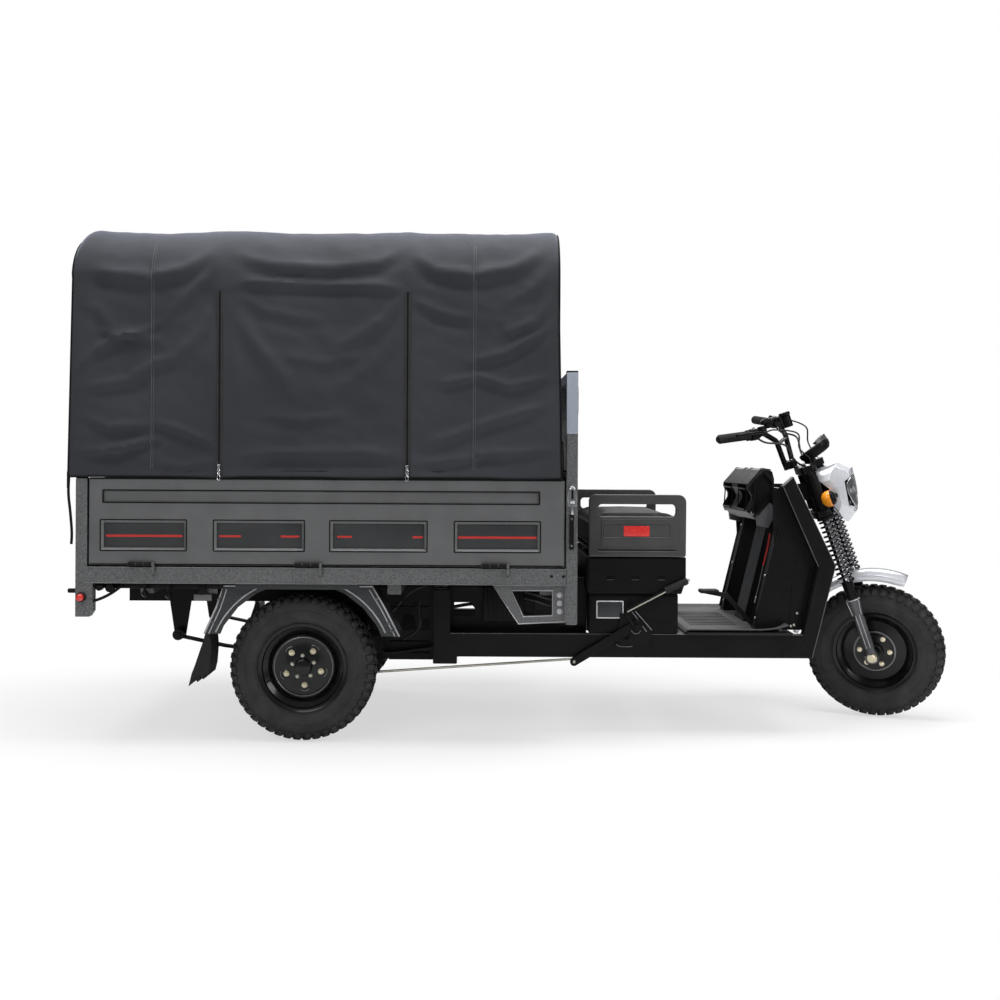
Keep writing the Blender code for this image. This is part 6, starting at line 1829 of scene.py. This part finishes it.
def hand_brake():
    quadrant, lever, silver, grip, nuts, edge = (Shape() for _ in range(6))
    quadrant.plate([(0.32, 0.345), (0.467, 0.345), (0.455, 0.44), (0.4, 0.48), (0.34, 0.47)],
                   -0.4085, -0.4045, bevel=0.001, holes=[rect((0.352, 0.372), (0.372, 0.42), 0.006, 4)])
    for k in range(9):
        a = radians(35 + 13 * k)
        p = (0.398 + 0.052 * cos(a), 0.415 + 0.052 * sin(a))
        quadrant.rod((p[0], -0.41, p[1]), (p[0], -0.4035, p[1]), 0.0036, sides=6)
    arm = [(0.395, -0.43, 0.415), (0.351, -0.432, 0.484), (0.43, -0.436, 0.52), (0.517, -0.44, 0.568)]
    lever.tube(rounded(arm, 0.02, 6), 0.0065, 16)
    lever.rod((0.4, -0.408, 0.42), (0.4, -0.444, 0.42), 0.011, sides=24, bevel=0.002)
    lever.plate([(0.15, 0.272), (0.168, 0.272), (0.428, 0.428), (0.42, 0.448), (0.392, 0.446), (0.15, 0.3)],
                -0.4245, -0.419, bevel=0.0015)
    silver.tube([(0.362, -0.444, 0.482), (0.51, -0.444, 0.56)], 0.0026, 12)
    silver.rod((0.165, -0.4153, 0.297), (-0.799, -0.4123, 0.228), 0.0048, sides=16)
    start, end = Vector((0.507, -0.44, 0.5625)), Vector((0.594, -0.44, 0.603))
    along = (end - start).normalized()
    place, length = frame_along(start, end)
    profile = [(0.0, 0.0), (0.0125, 0.0), (0.0138, 0.003)]
    for k in range(8):
        w = 0.012 + 0.0085 * k
        profile += [(0.014, w), (0.0128, w + 0.0018), (0.0128, w + 0.0038), (0.014, w + 0.0056)]
    profile += [(0.014, length - 0.009), (0.011, length - 0.002), (0.0, length)]
    grip.turned(profile, 28, place @ UPRIGHT)
    silver.rod(end - along * 0.002, end + along * 0.007, 0.0052, sides=16, bevel=0.001)
    quadrant.nut((0.4, -0.444, 0.42), (0, -1, 0), 0.0085, 0.006, 0.012)
    nuts.rod((0.16, -0.4085, 0.287), (0.16, -0.433, 0.287), 0.0058, sides=18, bevel=0.001)
    # Pale lines along the bracket's edges and round the pivot: painted highlights.
    edge.tube([(0.396, -0.412, 0.481), (0.46, -0.412, 0.408)], 0.0022, 10)
    edge.tube([(0.384, -0.412, 0.478), (0.44, -0.412, 0.402)], 0.0018, 10)
    edge.tube(at_y(-0.426, arc((0.398, 0.414), 0.018, 195, 345, 10)), 0.0019, 10)
    corner = ((0.323, 0.353), (0.336, 0.345), (0.366, 0.343), (0.386, 0.346))
    edge.tube(smooth(at_y(-0.4095, corner), 5), 0.0018, 10)
    quadrant.turned([(0.0065, 0.0), (0.0155, 0.0), (0.0155, 0.004), (0.0065, 0.004)], 28,
                    moved((0.16, -0.432, 0.287)), True)
    for u, w in ((0.332, 0.356), (0.455, 0.356)):
        quadrant.nut((u, -0.4085, w), (0, -1, 0), 0.007, 0.005, 0.0095)
    quadrant.done("brake_quadrant", "black")
    lever.done("brake_lever_arm", "black", 35)
    silver.done("brake_rods", "zinc", 40)
    grip.done("brake_lever_grip", "rubber", 40, ["hand_brake"])
    nuts.done("brake_nuts", "zinc")
    edge.done("brake_bracket_edges", "steel", 60)


def wheel_guards():
    for side, word in SIDES:
        bead, bolts, flap, arch = (Shape() for _ in range(4))
        y = side * 0.6003
        outer = [(-1.222, 0.412), (-1.178, 0.511), (-1.152, 0.59), (-0.6, 0.59), (-0.555, 0.511),
                 (-0.5, 0.405)]
        inner = [(-1.205, 0.414), (-1.162, 0.508), (-1.14, 0.577), (-0.612, 0.577), (-0.569, 0.507),
                 (-0.517, 0.407)]
        # Pale beads round the web and the arch: painted highlights along the guard's rolled edges.
        bead.tube(at_y(y, outer), 0.0034, 10)
        bead.tube(at_y(y, inner[:3]), 0.0022, 8)
        bead.tube(at_y(y, inner[3:]), 0.0022, 8)
        ring = at_y(y, arc((REAR_X, TYRE_R), 0.344, 24, 156, 33))
        ring = [p for p in ring if p.z < 0.588 and -1.21 < p.x < -0.512]
        for half in ([p for p in ring if p.x < REAR_X], [p for p in ring if p.x > REAR_X]):
            if len(half) > 1:
                bead.tube(half, 0.003, 10)
        for u, v in ((-1.19, 0.455), (-1.168, 0.54), (-0.585, 0.545), (-0.54, 0.455), (-0.53, 0.425)):
            bolts.rod((u, y, v), (u, y + side * 0.0045, v), 0.0062, 0.0048, 14, 0.001)
        strut = ((-0.62, 0.575, 0.52), (-0.655, 0.58, 0.56), (-0.7, 0.585, 0.585))
        arch.tube(smooth(at_side(side, strut), 5), 0.006, 10)
        tips = [(-1.2225, 0.4105), (-1.2035, 0.407), (-1.199, 0.35), (-1.204, 0.285), (-1.212, 0.252),
                (-1.222, 0.266), (-1.229, 0.238), (-1.24, 0.256), (-1.25, 0.228), (-1.262, 0.248),
                (-1.284, 0.212), (-1.272, 0.262), (-1.255, 0.305), (-1.236, 0.36)]
        flap.plate(tips, *band(side, 0.446, 0.584), bevel=0.0015)
        for k in range(6):
            v = side * (0.46 + 0.022 * k)
            flap.tube([(-1.224, v, 0.4), (-1.256, v, 0.305), (-1.27, v, 0.262)], 0.0022, 8)
        flap.done(f"mud_flap_rubber_{word}", "rubber", 35, [f"mud_flap_{word}"])
        bead.done(f"mudguard_beads_{word}", "edge_dim", 50)
        bolts.done(f"mudguard_bolts_{word}", "steel")
        arch.done(f"mudguard_strut_{word}", "bed_fine", 50)
        step, dome = Shape(), Shape()
        outer = [(-0.157, 0.6015), (-0.061, 0.46), (0.111, 0.468), (0.111, 0.6015)]
        hole = [(-0.087, 0.582), (-0.043, 0.486), (0.064, 0.49), (0.064, 0.582)]
        # Pale beads round the side step and its opening, and pale domes: painted highlights on their rounded
        # edges.
        for ring in (outer, hole):
            step.tube(at_y(side * 0.6402, ring), 0.0026, 8, True)
        for z in (0.506, 0.536, 0.566):
            dome.turned([(0.0118, 0.0), (0.0118, 0.0015), (0.01, 0.0042), (0.006, 0.006), (0.0, 0.0066)], 28,
                        moved((0.09, side * 0.64, z)) @ facing(side))
        step.done(f"side_step_beads_{word}", "edge_dim", 50)
        dome.done(f"side_step_domes_{word}", "edge_dim")


def under_bed():
    """Splash panels with their openings, wiring and its clips, between the rear frame and the axle."""
    panel, wire, clip = Shape(), Shape(), Shape()
    for side, _ in SIDES:
        outline = [(-0.585, 0.59), (-0.386, 0.59), (-0.386, 0.272), (-0.56, 0.272), (-0.58, 0.3)]
        holes = [[(-0.52, 0.388), (-0.452, 0.392), (-0.462, 0.446), (-0.5, 0.452)],
                 [(-0.43, 0.39), (-0.4, 0.39), (-0.404, 0.437), (-0.426, 0.43)]]
        panel.plate(outline, *band(side, 0.2965, 0.3), bevel=0.001, holes=holes)
        for z in (0.3, 0.345, 0.48, 0.54):
            panel.rod((-0.56, side * 0.301, z), (-0.4, side * 0.301, z), 0.0035, sides=8)
        for radius, run in (
            (0.005, ((-0.39, 0.306, 0.575), (-0.47, 0.306, 0.54), (-0.53, 0.304, 0.48),
                     (-0.57, 0.302, 0.43))),
            (0.004, ((-0.39, 0.306, 0.56), (-0.44, 0.306, 0.5), (-0.44, 0.306, 0.4), (-0.5, 0.304, 0.35))),
            (0.007, ((0.1, 0.2, 0.42), (-0.05, 0.23, 0.43), (-0.2, 0.2, 0.48), (-0.33, 0.24, 0.47))),
        ):
            wire.tube(smooth(at_side(side, run), 8), radius, 10)
        for x in (-0.455, -0.53):
            clip.box(about(x, 0.006), (side * 0.3, side * 0.312), (0.475, 0.5), 0.002)
    opening = [(-0.305, 0.447), (-0.222, 0.447), (-0.222, 0.475), (-0.262, 0.525), (-0.305, 0.505)]
    hole = [(-0.254 + 0.01 * cos(radians(a)), 0.552 + 0.007 * sin(radians(a)))
            for a in range(0, 360, 30)]
    for side, _ in SIDES:
        start = -0.33 if side < 0 else -0.195
        bulkhead = [(start, 0.362), (0.217, 0.362), (0.217, 0.6), (start, 0.6)]
        panel.plate(bulkhead, *band(side, 0.3, 0.303), bevel=0.001,
                    holes=[opening, hole] if side < 0 else [])
        panel.box((-0.19, -0.03), (side * 0.3025, side * 0.34), (0.43, 0.565), 0.006, 3)
        for k in range(9):
            u = -0.178 + 0.017 * k
            panel.box((u, u + 0.006), (side * 0.339, side * 0.348), (0.44, 0.555), 0.0015)
        panel.box((0.01, 0.18), (side * 0.3025, side * 0.312), (0.47, 0.575), 0.004, 3)
        for u, w in ((-0.182, 0.59), (-0.182, 0.39), (-0.01, 0.59), (-0.01, 0.4), (0.19, 0.4),
                     (0.19, 0.59)):
            clip.rod((u, side * 0.3025, w), (u, side * 0.308, w), 0.0065, 0.005, 16, 0.001)
        for w in (0.545, 0.52, 0.455):
            run = ((-0.03, 0.33, w), (0.01, 0.333, w - 0.01), (0.07, 0.318, w - 0.03),
                   (0.16, 0.316, w - 0.036))
            wire.tube(smooth(at_side(side, run), 8), 0.004, 10)
    panel.done("splash_panels", "black", 35)
    wire.done("under_bed_wiring", "cable", 60)
    clip.done("wiring_clips", "plastic")


# Materials of the CAD nodes that show, where the slot's name is not the material's
NODE_PAINT = {"frame_black": "black", "bed_grey": "bed", "rim_black": "rim", "lens": "glass",
              "cushion": "vinyl"}


def main():
    studio()
    for side, word in SIDES:
        rear_wheel(side, word)
        drop_side(side, word)
        latch(side, word)
    front_wheel()
    front_fork()
    handlebar()
    gauge()
    headlamp()
    indicators()
    fender()
    bed_trims()
    tail_end()
    seat_box()
    cushions()
    storage_pod()
    floor_and_shield()
    hand_brake()
    wheel_guards()
    under_bed()
    canopy_cover()
    slots = {part["node"]: part["material_slot"] for part in frame["record"]["subparts"]}
    for node, made in frame["nodes"].items():
        if not made.hide_render:
            paint_node(node, NODE_PAINT.get(slots[node], slots[node]))
    for node in ("side_gate_left", "side_gate_right", "tailgate"):
        paint_node(node, "bed_fine")
    for node in ("mudguard_left", "mudguard_right"):
        paint_node(node, "guard")


main()
